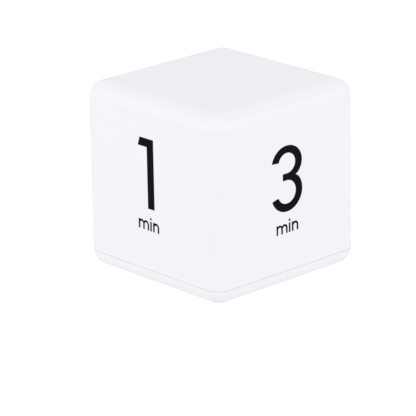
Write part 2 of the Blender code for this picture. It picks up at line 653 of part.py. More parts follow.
def make_case_screws():
    for number, place in enumerate(corner_places(SCREW_PLACE, SCREW_PLACE), 1):
        make_screw(f"cover_screw_{number}", place, SCREW_SHANK_RADIUS, SCREW_HEAD_RADIUS,
                   SCREW_HEAD_HEIGHT, SCREW_LENGTH, COUNTERBORE_DEPTH - FIT, True)


def make_board_screws():
    places = [(sx * BOARD_SCREW_X, y) for sx in (-1, 1) for y in BOARD_SCREW_Y]
    for number, place in enumerate(places, 1):
        make_screw(f"pcb_screw_{number}", place, BOARD_SCREW_SHANK_RADIUS, BOARD_SCREW_HEAD_RADIUS,
                   BOARD_SCREW_HEAD_HEIGHT, BOARD_SCREW_LENGTH, BOARD_TOP + FIT, False)


def make_display_window():
    outline = rounded_rectangle((0, 0), WINDOW_LENS, WINDOW_LENS_CORNER)
    mesh = outline_mesh("display_window", [outline], 0, WINDOW_LENS_THICKNESS)
    return place_object("display_window", mesh, CLEAR_PLASTIC, (0, WINDOW_CENTRE_Y, WINDOW_RECESS))


def make_battery_door():
    """The door's own origin is on its hinge axis; its hinge edge is round about that axis."""
    pivot = Vector((0, HINGE_AXIS_Y, HINGE_AXIS_Z))
    far = DOOR_FAR_Y - HINGE_AXIS_Y
    steps = ARC_STEPS
    section = arc((0, 0), HINGE_RADIUS, 90, 270, 2 * steps)
    section += [(far + OVERRUN, -HINGE_RADIUS), (far + OVERRUN, HINGE_RADIUS)]
    half_length = DOOR_HALF_LENGTH + OVERRUN
    plate = outline_mesh("battery_door", [section], -half_length, half_length, along_x())
    door = place_object("battery_door", plate, WHITE_PLASTIC, pivot)
    near = -HINGE_RADIUS - FIT / 2
    rim = rounded_rectangle((0, (far + near) / 2), (2 * DOOR_HALF_LENGTH, far - near), DOOR_CORNER, 3)
    trim = make_tool("door_trim", outline_mesh("door_trim", [rim], -DOOR_THICKNESS, DOOR_THICKNESS))
    trim.location = pivot
    apply_boolean(door, trim, "INTERSECT")
    for number, side in enumerate((-1, 1)):
        low = (side * HINGE_TAB_PLACE - HINGE_TAB_WIDTH / 2, -HINGE_TAB_REACH,
               HINGE_RADIUS - HINGE_TAB_THICKNESS)
        high = (side * HINGE_TAB_PLACE + HINGE_TAB_WIDTH / 2, HINGE_RADIUS, HINGE_RADIUS)
        tab = make_tool(f"hinge_tab_{number}", box_mesh("hinge_tab", low, high))
        tab.location = pivot
        add(door, tab)
    rib_y = WELL_CENTRE_Y - HINGE_AXIS_Y
    rib = make_tool("door_rib", box_mesh(
        "door_rib", (-DOOR_RIB_LENGTH / 2, rib_y - DOOR_RIB_WALL / 2, 0),
        (DOOR_RIB_LENGTH / 2, rib_y + DOOR_RIB_WALL / 2, HINGE_RADIUS + DOOR_RIB_HEIGHT)))
    rib.location = pivot
    add(door, rib)
    bead_section = [(far - 2 * LATCH_RADIUS, -LATCH_RADIUS), (far - 2 * LATCH_RADIUS, LATCH_RADIUS)]
    bead_section += arc((far + LATCH_PROUD - LATCH_RADIUS, 0), LATCH_RADIUS, 90, -90, steps)
    bead_half = LATCH_LENGTH / 2
    bead_bar = outline_mesh("latch_bead", [bead_section], -bead_half, bead_half, along_x())
    bead = make_tool("latch_bead", bead_bar)
    bead.location = pivot
    add(door, bead)
    for number in range(GRIP_GROOVES):
        y = far - GRIP_GROOVE_PITCH * (number + 1)
        groove = make_tool(f"grip_groove_{number}", centred_box(
            "grip_groove", (0, y), (GRIP_GROOVE_LENGTH, GRIP_GROOVE_WIDTH), -HINGE_RADIUS - OVERRUN,
            -HINGE_RADIUS + GRIP_GROOVE_DEPTH))
        groove.location = pivot
        cut(door, groove)
    smooth(door)
    return door


def make_battery_cells():
    body_top = CELL_LENGTH - CELL_NUB_HEIGHT
    profile = [
        (0, CELL_LENGTH),
        (CELL_NUB_RADIUS, CELL_LENGTH),
        (CELL_NUB_RADIUS, body_top),
        (CELL_RADIUS - CELL_EDGE, body_top),
        (CELL_RADIUS, body_top - CELL_EDGE),
        (CELL_RADIUS, CELL_EDGE),
        (CELL_RADIUS - CELL_EDGE, 0),
        (0, 0),
    ]
    mesh = turned_mesh("battery_cell", profile, ROUND_SIDES)
    tip_x = CONTACT_FACE_X - CONTACT_DIMPLE_HEIGHT - FIT
    for number, (y, side) in enumerate(zip(CELL_Y, (1, -1)), 1):
        place = (side * (tip_x - CELL_LENGTH), y, CELL_AXIS_Z)
        cell = place_object(f"battery_cell_{number}", mesh, CELL_WRAP, place)
        cell.rotation_euler = (0, side * math.pi / 2, 0)
        smooth(cell)


def contact_outline(centres, with_tail):
    """A contact sheet seen along X: (y, z) points round one or two cells, with a solder tail."""
    left = min(centres) - CONTACT_WIDTH / 2
    right = max(centres) + CONTACT_WIDTH / 2
    middle = ((left + right) / 2, CONTACT_FLOOR + CONTACT_HEIGHT / 2)
    outline = rounded_rectangle(middle, (right - left, CONTACT_HEIGHT), CONTACT_CORNER, 3)
    if not with_tail:
        return outline
    top = CONTACT_FLOOR + CONTACT_HEIGHT
    tail_top = top + CONTACT_TAIL_RISE
    half = CONTACT_TAIL_WIDTH / 2
    tail = [(middle[0] + half, top), (middle[0] + half, tail_top), (middle[0] - half, tail_top),
            (middle[0] - half, top)]
    return outline[:4] + tail + outline[4:]


def make_contact(name, centres, side, with_tail, dimple_y=None):
    """A pressed sheet against the end wall at X of the given side."""
    outline = contact_outline(centres, with_tail)
    near = side * CONTACT_FACE_X
    far = side * (CONTACT_FACE_X + CONTACT_SHEET)
    mesh = outline_mesh(name, [outline], min(near, far), max(near, far), along_x())
    contact = place_object(name, mesh, NICKEL)
    if dimple_y is not None:
        bump = rod_mesh(name + "_dimple", [(0, 0)], CONTACT_DIMPLE_RADIUS, 0,
                        CONTACT_DIMPLE_HEIGHT + CONTACT_SHEET / 2)
        tool = make_tool(name + "_dimple", bump)
        tool.location = (side * (CONTACT_FACE_X + CONTACT_SHEET / 2), dimple_y, CELL_AXIS_Z)
        tool.rotation_euler = (0, -side * math.pi / 2, 0)
        add(contact, tool)
    return contact


def spring_points(side, y):
    """A conical spring from its seat on the sheet to the flat end of the cell."""
    seat = CONTACT_FACE_X - FIT - SPRING_WIRE_RADIUS
    cell_end = CELL_LENGTH - (CONTACT_FACE_X - CONTACT_DIMPLE_HEIGHT - FIT)
    length = seat - (cell_end + FIT + SPRING_WIRE_RADIUS)
    count = round(SPRING_TURNS * SPRING_POINTS_PER_TURN)
    points = []
    for i in range(count + 1):
        along = i / count
        angle = 2 * math.pi * SPRING_TURNS * along
        radius = SPRING_BASE_RADIUS + (SPRING_TIP_RADIUS - SPRING_BASE_RADIUS) * along
        x = side * (seat - length * along)
        points.append((x, y + radius * math.cos(angle), CELL_AXIS_Z + radius * math.sin(angle)))
    return points


def wire_mesh(name, points, radius, resolution):
    curve = bpy.data.curves.new(name + "_path", "CURVE")
    curve.dimensions = "3D"
    curve.bevel_depth = radius
    curve.bevel_resolution = resolution
    curve.use_fill_caps = True
    spline = curve.splines.new("POLY")
    spline.points.add(len(points) - 1)
    for point, place in zip(spline.points, points):
        point.co = (*place, 1)
    return mesh_from_curve(name, curve, Matrix.Identity(4))


def least_gap(points, radius, skip):
    """The smallest clear distance between stretches of one wire that aren't neighbours."""
    best = None
    for i, first in enumerate(points):
        for second in points[i + skip:]:
            gap = (Vector(first) - Vector(second)).length - 2 * radius
            best = gap if best is None else min(best, gap)
    return best


def make_contacts():
    make_contact("contact_bridge", CELL_Y, -1, False, CELL_Y[1])
    make_contact("contact_positive", (CELL_Y[0],), 1, True, CELL_Y[0])
    make_contact("contact_negative", (CELL_Y[1],), 1, True)
    for name, side, y in (("contact_spring_1", -1, CELL_Y[0]), ("contact_spring_2", 1, CELL_Y[1])):
        points = spring_points(side, y)
        gap = least_gap(points, SPRING_WIRE_RADIUS, SPRING_POINTS_PER_TURN // 2)
        print(f"{name}: least gap to itself {gap * 1000:.2f} mm")
        spring = place_object(name, wire_mesh(name, points, SPRING_WIRE_RADIUS, 1), NICKEL)
        smooth(spring, 60)


def make_display():
    centre_y = WINDOW_CENTRE_Y
    half_y = PANEL_SIZE[1] / 2
    glass = centred_box("lcd_panel", (0, centre_y), PANEL_SIZE, PANEL_FLOOR, PANEL_TOP)
    panel = place_object("lcd_panel", glass, DISPLAY_GLASS)
    step_low = (-PANEL_SIZE[0], centre_y + half_y - PANEL_LEDGE, PANEL_LEDGE_TOP)
    step_high = (PANEL_SIZE[0], centre_y + PANEL_SIZE[1], PANEL_TOP + OVERRUN)
    cut(panel, make_tool("panel_ledge", box_mesh("panel_ledge", step_low, step_high)))
    strip_y = centre_y + half_y - PANEL_LEDGE / 2
    strip = centred_box("zebra_strip", (0, strip_y), (ZEBRA_LENGTH, ZEBRA_WIDTH), PANEL_LEDGE_TOP + FIT,
                        HOLDER_TOP)
    place_object("zebra_strip", strip, RUBBER_GREY)
    outline = rounded_rectangle((0, centre_y), HOLDER_OUTER, HOLDER_WALL, 3)
    holder = place_object("lcd_holder", outline_mesh("lcd_holder", [outline], PANEL_FLOOR, HOLDER_TOP),
                          BLACK_PLASTIC)
    bed = centred_box("panel_bed", (0, centre_y), HOLDER_INNER, 0, PANEL_TOP + FIT)
    cut(holder, make_tool("panel_bed", bed))
    slot_size = (ZEBRA_LENGTH + 2 * FIT, ZEBRA_WIDTH + 2 * FIT)
    slot = centred_box("zebra_slot", (0, strip_y), slot_size, PANEL_FLOOR, BOARD_TOP)
    cut(holder, make_tool("zebra_slot", slot))
    window_size = (PANEL_SIZE[0] * HOLDER_OPENING_SHARE,
                   (PANEL_SIZE[1] - 2 * PANEL_LEDGE) * HOLDER_OPENING_SHARE)
    back = centred_box("holder_window", (0, centre_y - PANEL_LEDGE / 2), window_size, PANEL_FLOOR, BOARD_TOP)
    cut(holder, make_tool("holder_window", back))


def make_circuit_board():
    centre = (0, (BOARD_FRONT_Y + BOARD_BACK_Y) / 2)
    size = (2 * BOARD_HALF_LENGTH, BOARD_BACK_Y - BOARD_FRONT_Y)
    outline = rounded_rectangle(centre, size, BOARD_CORNER, 3)
    plate = outline_mesh("circuit_board", [outline], BOARD_UNDERSIDE, BOARD_TOP)
    board = place_object("circuit_board", plate, BOARD_GREEN)
    notch_radius = POST_RADIUS + BOARD_NOTCH_GAP
    for number, side in enumerate((-1, 1)):
        notch = rod_mesh("post_notch", [(side * SCREW_PLACE, SCREW_PLACE)], notch_radius, 0, CUBE_SIDE / 2)
        cut(board, make_tool(f"post_notch_{number}", notch))
        low = (min(side * (SCREW_PLACE - notch_radius), side * HALF), SCREW_PLACE, 0)
        high = (max(side * (SCREW_PLACE - notch_radius), side * HALF), HALF, HALF)
        cut(board, make_tool(f"corner_notch_{number}", box_mesh("corner_notch", low, high)))
    places = [(sx * BOARD_SCREW_X, y) for sx in (-1, 1) for y in BOARD_SCREW_Y]
    holes = rod_mesh("board_holes", places, BOARD_SCREW_SHANK_RADIUS + FIT, 0, HALF)
    cut(board, make_tool("board_holes", holes))
    return board


def make_chip_cover():
    steps = ARC_STEPS
    profile = [(CHIP_COVER_RADIUS * math.sin(math.pi / 2 * i / steps),
                CHIP_COVER_HEIGHT * math.cos(math.pi / 2 * i / steps)) for i in range(steps + 1)]
    profile.append((0, 0))
    place = (0, BOARD_FRONT_Y + CHIP_COVER_SETBACK, BOARD_TOP + FIT)
    chip = place_object("chip_cover", turned_mesh("chip_cover", profile, SMALL_SIDES), RESIN_BLACK, place)
    smooth(chip, 60)


def make_crystal():
    mesh = rod_mesh("crystal", [(0, 0)], CRYSTAL_RADIUS, -CRYSTAL_LENGTH / 2, CRYSTAL_LENGTH / 2)
    place = (0, BOARD_FRONT_Y + CRYSTAL_SETBACK, BOARD_TOP + FIT + CRYSTAL_RADIUS)
    crystal = place_object("crystal", mesh, NICKEL, place)
    crystal.rotation_euler = (0, math.pi / 2, 0)
    smooth(crystal)


def make_power_switch():
    """The knob and the lever that it drives, both at the OFF end of their travel."""
    centre = (KNOB_REST_X, SWITCH_Y)
    knob_plate = centred_box("power_switch_knob", (0, 0), KNOB_PLATE, KNOB_PLATE_BOTTOM, KNOB_PLATE_TOP)
    knob = place_object("power_switch_knob", knob_plate, BLACK_PLASTIC, (*centre, 0))
    grip = make_tool("knob_grip", centred_box("knob_grip", centre, KNOB_GRIP, KNOB_GRIP_RECESS,
                                              KNOB_PLATE_BOTTOM + KNOB_PLATE_THICKNESS / 2))
    add(knob, grip)
    hole_size = (ACTUATOR_LEVER[0] + 2 * FIT, ACTUATOR_LEVER[1] + 2 * FIT)
    socket_size = (hole_size[0] + 2 * KNOB_SOCKET_WALL, hole_size[1] + 2 * KNOB_SOCKET_WALL)
    socket = centred_box("knob_socket", centre, socket_size, KNOB_PLATE_BOTTOM + FIT,
                         KNOB_PLATE_TOP + KNOB_SOCKET_HEIGHT)
    add(knob, make_tool("knob_socket", socket))
    hole = centred_box("knob_hole", centre, hole_size, KNOB_PLATE_BOTTOM, KNOB_PLATE_TOP + OVERRUN)
    cut(knob, make_tool("knob_hole", hole))
    pitch = KNOB_GRIP[0] / (KNOB_RIDGES + 1)
    for number in range(KNOB_RIDGES):
        x = KNOB_REST_X - KNOB_GRIP[0] / 2 + pitch * (number + 1)
        groove = centred_box("knob_groove", (x, SWITCH_Y), (KNOB_RIDGE_GROOVE, 2 * KNOB_GRIP[1]), 0,
                             KNOB_GRIP_RECESS + KNOB_RIDGE_GROOVE / 2)
        cut(knob, make_tool(f"knob_groove_{number}", groove))
    lever_top = SWITCH_FRAME_BOTTOM + SWITCH_FRAME_WALL + FIT
    actuator = place_object("slide_switch_actuator", centred_box(
        "slide_switch_actuator", (0, 0), ACTUATOR_PLATE, lever_top, lever_top + ACTUATOR_PLATE_THICKNESS),
        BLACK_PLASTIC, (*centre, 0))
    lever = centred_box("actuator_lever", centre, ACTUATOR_LEVER, KNOB_PLATE_BOTTOM + FIT,
                        lever_top + ACTUATOR_PLATE_THICKNESS / 2)
    add(actuator, make_tool("actuator_lever", lever))
    make_switch_frame()


def make_switch_frame():
    centre = (0, SWITCH_Y)
    block = centred_box("slide_switch_frame", (0, 0), SWITCH_FRAME, SWITCH_FRAME_BOTTOM, SWITCH_FRAME_TOP)
    frame = place_object("slide_switch_frame", block, STEEL, (*centre, 0))
    inner = (SWITCH_FRAME[0] - 2 * SWITCH_FRAME_WALL, SWITCH_FRAME[1] - 2 * SWITCH_FRAME_WALL)
    hollow = centred_box("frame_hollow", centre, inner, SWITCH_FRAME_BOTTOM + SWITCH_FRAME_WALL,
                         SWITCH_FRAME_TOP + OVERRUN)
    cut(frame, make_tool("frame_hollow", hollow))
    slot_size = (ACTUATOR_LEVER[0] + SWITCH_TRAVEL + 2 * FIT, ACTUATOR_LEVER[1] + 2 * FIT)
    slot = centred_box("frame_slot", centre, slot_size, KNOB_PLATE_TOP, SWITCH_FRAME_BOTTOM + OVERRUN)
    cut(frame, make_tool("frame_slot", slot))


def tilt_can_profile():
    """A drawn can, open at the lower end: outer side down, then the bore back up."""
    top = TILT_CAN_LENGTH / 2
    inner_top = top - TILT_CAN_WALL
    return [(0, top), (TILT_CAN_RADIUS, top), (TILT_CAN_RADIUS, -top), (TILT_BORE, -top),
            (TILT_BORE, inner_top), (0, inner_top)]


def tilt_plug_profile():
    """The plastic base: a collar outside the can and a spigot inside it."""
    mouth = -TILT_CAN_LENGTH / 2
    spigot = TILT_BORE - FIT
    collar_top = mouth - FIT
    return [(0, mouth + TILT_PLUG_DEPTH), (spigot, mouth + TILT_PLUG_DEPTH), (spigot, collar_top),
            (TILT_CAN_RADIUS, collar_top), (TILT_CAN_RADIUS, collar_top - TILT_PLUG_COLLAR),
            (0, collar_top - TILT_PLUG_COLLAR)]


def tilt_layout():
    """Place and direction of each switch's closed end: one for every number face."""
    x_line = BOARD_FRONT_Y + TILT_X_CAN_SETBACK
    y_line = BOARD_FRONT_Y + TILT_Y_CAN_SETBACK
    return [((TILT_X_CAN_X, x_line), (1, 0)), ((-TILT_X_CAN_X, x_line), (-1, 0)),
            ((TILT_Y_CAN_X, y_line), (0, 1)), ((-TILT_Y_CAN_X, y_line), (0, -1))]


def make_tilt_switches():
    can_mesh = turned_mesh("tilt_switch_can", tilt_can_profile(), SMALL_SIDES)
    plug_mesh = turned_mesh("tilt_switch_plug", tilt_plug_profile(), SMALL_SIDES)
    bm = bmesh.new()
    bmesh.ops.create_uvsphere(bm, u_segments=16, v_segments=8, radius=TILT_BALL_RADIUS)
    ball_mesh = finish_bmesh("tilt_ball", bm)
    space_middle = (TILT_PLUG_DEPTH - TILT_CAN_WALL) / 2
    for number, (place, direction) in enumerate(tilt_layout(), 1):
        turn = Vector((0, 0, 1)).rotation_difference(Vector((*direction, 0))).to_euler()
        centre = Vector((*place, TILT_AXIS_Z))
        for name, mesh, material in (("can", can_mesh, STEEL), ("plug", plug_mesh, BLACK_PLASTIC)):
            piece = place_object(f"tilt_switch_{name}_{number}", mesh, material, centre)
            piece.rotation_euler = turn
            smooth(piece)
        ball_place = centre + Vector((*direction, 0)) * space_middle
        ball = place_object(f"tilt_ball_{number}", ball_mesh, BRASS, ball_place)
        smooth(ball, 60)


def make_buzzer():
    plate = rod_mesh("piezo_plate", [(0, 0)], PIEZO_PLATE_RADIUS, PIEZO_PLATE_BOTTOM, PIEZO_PLATE_TOP,
                     ROUND_SIDES)
    smooth(place_object("piezo_plate", plate, BRASS))
    element = rod_mesh("piezo_element", [(0, 0)], PIEZO_ELEMENT_RADIUS, PIEZO_ELEMENT_BOTTOM,
                       PIEZO_ELEMENT_TOP, ROUND_SIDES)
    smooth(place_object("piezo_element", element, CERAMIC_WHITE))


def smooth_route(points):
    """Points on a smooth curve through the route's own points."""
    route = [Vector(p) for p in points]
    ends = [2 * route[0] - route[1]] + route + [2 * route[-1] - route[-2]]
    result = []
    for i in range(1, len(ends) - 2):
        before, first, second, after = ends[i - 1:i + 3]
        for step in range(WIRE_POINTS_PER_STRETCH):
            t = step / WIRE_POINTS_PER_STRETCH
            bend = 2 * first + (second - before) * t
            bend += (2 * before - 5 * first + 4 * second - after) * t * t
            bend += (3 * first - before - 3 * second + after) * t * t * t
            result.append(bend / 2)
    result.append(route[-1])
    return result


WIRE_ROUTES = {
    "battery_wire_positive": ((0.0245, -0.0147, 0.0172), (0.0245, -0.0147, 0.0195), (0.0246, -0.0110, 0.0225),
                              (0.0248, -0.0020, 0.0215), (0.0235, 0.0045, 0.0170), (0.0225, 0.0100, 0.0125),
                              (0.0225, 0.0115, 0.0089)),
    "battery_wire_negative": ((0.0245, -0.0037, 0.0172), (0.0245, -0.0035, 0.0185), (0.0232, 0.0000, 0.0192),
                              (0.0212, 0.0060, 0.0165), (0.0195, 0.0118, 0.0125), (0.0193, 0.0125, 0.0089)),
    "buzzer_wire_1": ((0.0060, -0.0040, 0.0624), (0.0062, -0.0040, 0.0595), (0.0120, -0.0010, 0.0500),
                      (0.0150, 0.0060, 0.0350), (0.0080, 0.0160, 0.0200), (0.0040, 0.0230, 0.0125),
                      (0.0035, 0.0238, 0.0089)),
    "buzzer_wire_2": ((-0.0117, 0.0000, 0.0632), (-0.0118, 0.0000, 0.0600), (-0.0120, 0.0020, 0.0500),
                      (-0.0080, 0.0080, 0.0350), (-0.0040, 0.0180, 0.0200), (-0.0030, 0.0230, 0.0125),
                      (-0.0030, 0.0238, 0.0089)),
}


def make_wires():
    colours = {"battery_wire_positive": WIRE_RED, "battery_wire_negative": WIRE_BLACK,
               "buzzer_wire_1": WIRE_RED, "buzzer_wire_2": WIRE_BLACK}
    for name, route in WIRE_ROUTES.items():
        wire = place_object(name, wire_mesh(name, smooth_route(route), WIRE_RADIUS, 2), colours[name])
        smooth(wire, 60)


def main():
    make_housing_shell()
    make_base_cover()
    make_display_window()
    make_battery_door()
    make_case_screws()
    make_display()
    make_circuit_board()
    make_board_screws()
    make_chip_cover()
    make_crystal()
    make_power_switch()
    make_tilt_switches()
    make_buzzer()
    make_battery_cells()
    make_contacts()
    make_wires()


main()
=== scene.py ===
"""Looks of the cube timer: satin white case, black numerals, display face and electronics.

Metres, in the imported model's frame: the 1 minute face looks along -Y, the 3 minute face along +X.
"""

import math

import bmesh
import bpy
from mathutils import Matrix, Vector


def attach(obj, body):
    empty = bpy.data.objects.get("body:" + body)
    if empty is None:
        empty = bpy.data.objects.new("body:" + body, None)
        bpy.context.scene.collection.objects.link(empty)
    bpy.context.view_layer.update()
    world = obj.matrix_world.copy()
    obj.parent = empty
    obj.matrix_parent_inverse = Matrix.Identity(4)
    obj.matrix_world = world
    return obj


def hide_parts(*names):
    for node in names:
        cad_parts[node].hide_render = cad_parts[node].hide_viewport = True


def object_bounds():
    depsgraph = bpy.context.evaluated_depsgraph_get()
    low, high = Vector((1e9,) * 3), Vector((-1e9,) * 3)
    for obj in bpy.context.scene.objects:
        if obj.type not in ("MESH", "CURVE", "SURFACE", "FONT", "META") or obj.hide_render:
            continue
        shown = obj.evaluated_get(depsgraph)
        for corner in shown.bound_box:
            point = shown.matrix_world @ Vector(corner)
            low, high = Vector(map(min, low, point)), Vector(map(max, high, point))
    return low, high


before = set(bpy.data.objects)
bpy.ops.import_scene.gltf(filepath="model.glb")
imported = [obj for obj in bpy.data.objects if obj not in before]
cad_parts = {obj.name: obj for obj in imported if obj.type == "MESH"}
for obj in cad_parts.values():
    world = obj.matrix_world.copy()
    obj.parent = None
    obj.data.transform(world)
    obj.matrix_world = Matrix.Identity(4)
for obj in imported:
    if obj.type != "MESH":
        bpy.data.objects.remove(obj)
CAD_LOW, CAD_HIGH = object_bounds()

MM = 0.001


def mm(*lengths):
    """Lengths given in millimetres, in metres."""
    return tuple(length * MM for length in lengths)


# Camera, fitted to the cube's outline in the photograph
CAMERA_AZIMUTH = math.radians(47.218)
CAMERA_ELEVATION = math.radians(18.874)
CAMERA_ROLL = math.radians(-1.019)
CAMERA_DISTANCE = 993.7 * MM
CAMERA_LENS_PIXELS = 2870.0
CUBE_CENTRE_OFFSET = mm(4.46, 12.63)
IMAGE_SIDE_PIXELS = 416
SENSOR_WIDTH = 36.0

# Case
HALF = (CAD_HIGH.x - CAD_LOW.x) / 2
CUBE_TOP = CAD_HIGH.z
EDGE_RADIUS = 5.7 * MM
WALL = 2.2 * MM
EDGE_STEPS = 14
SKIN_INSET = 0.03 * MM
PARTING_HEIGHT = 5.8 * MM
PARTING_LINE = 0.10 * MM
FIT = 0.3 * MM
OVERRUN = 1.0 * MM
TINY = 0.001 * MM
SOFTENED_ANGLE = math.radians(40)

# Print, its lettering in millimetres
PRINT_RISE = 0.02 * MM
LETTER_STROKE = 0.76
LETTER_HEIGHT = 3.4
LETTER_DOT_RISE = 0.95
CAPITAL_TO_SIZE = 1.4

# Light
SKY_TINT = (1.0, 0.995, 0.99, 1)
SKY_STRENGTH = 0.80
FLOOR_HALF = 3.0
FLOOR_COLOUR = (0.55, 0.55, 0.55, 1)
FLOOR_GLOW = 0.60
# Name, azimuth, elevation, distance, side and watts
LAMPS = (("key_softbox", -18, 18, 1.1, 0.7, 2.95), ("fill_softbox", 106, 16, 1.2, 0.7, 3.3),
         ("top_softbox", 30, 82, 1.3, 0.8, 0.9), ("low_softbox", 47, -46, 1.2, 0.8, 1.2))

scene = bpy.context.scene
scene.view_settings.view_transform = "Standard"


# Camera, lamps and stage

def set_camera():
    back = Vector((math.sin(CAMERA_AZIMUTH) * math.cos(CAMERA_ELEVATION),
                   -math.cos(CAMERA_AZIMUTH) * math.cos(CAMERA_ELEVATION),
                   math.sin(CAMERA_ELEVATION)))
    level = Vector((math.cos(CAMERA_AZIMUTH), math.sin(CAMERA_AZIMUTH), 0))
    upright = back.cross(level)
    right = level * math.cos(CAMERA_ROLL) + upright * math.sin(CAMERA_ROLL)
    up = upright * math.cos(CAMERA_ROLL) - level * math.sin(CAMERA_ROLL)
    centre = (CAD_LOW + CAD_HIGH) / 2
    place = centre + back * CAMERA_DISTANCE - right * CUBE_CENTRE_OFFSET[0] - up * CUBE_CENTRE_OFFSET[1]
    data = bpy.data.cameras.new("camera")
    data.sensor_width = SENSOR_WIDTH
    data.lens = CAMERA_LENS_PIXELS / IMAGE_SIDE_PIXELS * SENSOR_WIDTH
    data.clip_start = 0.01
    data.clip_end = 20
    camera = bpy.data.objects.new("camera", data)
    turn = Matrix((right, up, back)).transposed().to_4x4()
    camera.matrix_world = Matrix.Translation(place) @ turn
    scene.collection.objects.link(camera)
    scene.camera = camera


def add_softbox(name, azimuth, elevation, distance, size, power):
    """A square lamp that looks at the middle of the cube."""
    azimuth, elevation = math.radians(azimuth), math.radians(elevation)
    direction = Vector((math.sin(azimuth) * math.cos(elevation), -math.cos(azimuth) * math.cos(elevation),
                        math.sin(elevation)))
    data = bpy.data.lights.new(name, "AREA")
    data.shape = "SQUARE"
    data.size = size
    data.energy = power
    lamp = bpy.data.objects.new(name, data)
    lamp.location = (CAD_LOW + CAD_HIGH) / 2 + direction * distance
    lamp.rotation_euler = direction.to_track_quat("Z", "Y").to_euler()
    scene.collection.objects.link(lamp)


def add_nodes(tree, **kinds):
    """New nodes of a tree, kept by name."""
    return {name: tree.nodes.new(kind) for name, kind in kinds.items()}


def preset(node, values):
    """Values for a node's inputs, by name or number."""
    for socket, value in values.items():
        node.inputs[socket].default_value = value


def join(tree, nodes, *links):
    """Links, each given as its source node and output, then its target node and input."""
    for source, output, target, socket in links:
        tree.links.new(nodes[source].outputs[output], nodes[target].inputs[socket])


def empty_tree(owner):
    owner.use_nodes = True
    owner.node_tree.nodes.clear()
    return owner.node_tree


def set_world():
    """White where it is seen or reflected, and a plain even light on the object."""
    scene.world = bpy.data.worlds.new("studio")
    tree = empty_tree(scene.world)
    nodes = add_nodes(tree, path="ShaderNodeLightPath", seen="ShaderNodeMath", through="ShaderNodeMath",
                      light="ShaderNodeBackground", white="ShaderNodeBackground", mix="ShaderNodeMixShader",
                      out="ShaderNodeOutputWorld")
    nodes["seen"].operation = nodes["through"].operation = "MAXIMUM"
    preset(nodes["light"], {"Color": SKY_TINT, "Strength": SKY_STRENGTH})
    preset(nodes["white"], {"Color": (1, 1, 1, 1)})
    join(tree, nodes, ("path", "Is Camera Ray", "seen", 0), ("path", "Is Glossy Ray", "seen", 1),
         ("seen", 0, "through", 0), ("path", "Is Transmission Ray", "through", 1),
         ("through", 0, "mix", "Fac"), ("light", 0, "mix", 1), ("white", 0, "mix", 2),
         ("mix", 0, "out", "Surface"))


def make_floor():
    """A white floor that keeps the object's shadow and lets the view from below through."""
    mesh = bpy.data.meshes.new("floor")
    bm = bmesh.new()
    bmesh.ops.create_grid(bm, x_segments=1, y_segments=1, size=FLOOR_HALF)
    bm.to_mesh(mesh)
    bm.free()
    floor = bpy.data.objects.new("floor", mesh)
    scene.collection.objects.link(floor)
    material = bpy.data.materials.new("white_floor")
    tree = empty_tree(material)
    nodes = add_nodes(tree, path="ShaderNodeLightPath", side="ShaderNodeNewGeometry", front="ShaderNodeMath",
                      clear="ShaderNodeBsdfTransparent", diffuse="ShaderNodeBsdfDiffuse",
                      glow="ShaderNodeEmission", both="ShaderNodeAddShader", mix="ShaderNodeMixShader",
                      out="ShaderNodeOutputMaterial")
    nodes["front"].operation = "SUBTRACT"
    nodes["front"].use_clamp = True
    preset(nodes["diffuse"], {"Color": FLOOR_COLOUR})
    preset(nodes["glow"], {"Strength": FLOOR_GLOW})
    join(tree, nodes, ("path", "Is Camera Ray", "front", 0), ("side", "Backfacing", "front", 1),
         ("front", 0, "mix", "Fac"), ("clear", 0, "mix", 1), ("diffuse", 0, "both", 0),
         ("glow", 0, "both", 1), ("both", 0, "mix", 2), ("mix", 0, "out", "Surface"))
    mesh.materials.append(material)


set_camera()
set_world()
make_floor()
for lamp_facts in LAMPS:
    add_softbox(*lamp_facts)


# Finishes

def new_group(name, kind, inputs, outputs):
    """A node group with named sockets, some of its inputs with a value."""
    tree = bpy.data.node_groups.new(name, kind)
    for in_out, sockets in (("INPUT", inputs), ("OUTPUT", outputs)):
        for label, socket, *value in sockets:
            made = tree.interface.new_socket(name=label, in_out=in_out, socket_type="NodeSocket" + socket)
            if value:
                made.default_value = value[0]
    return tree


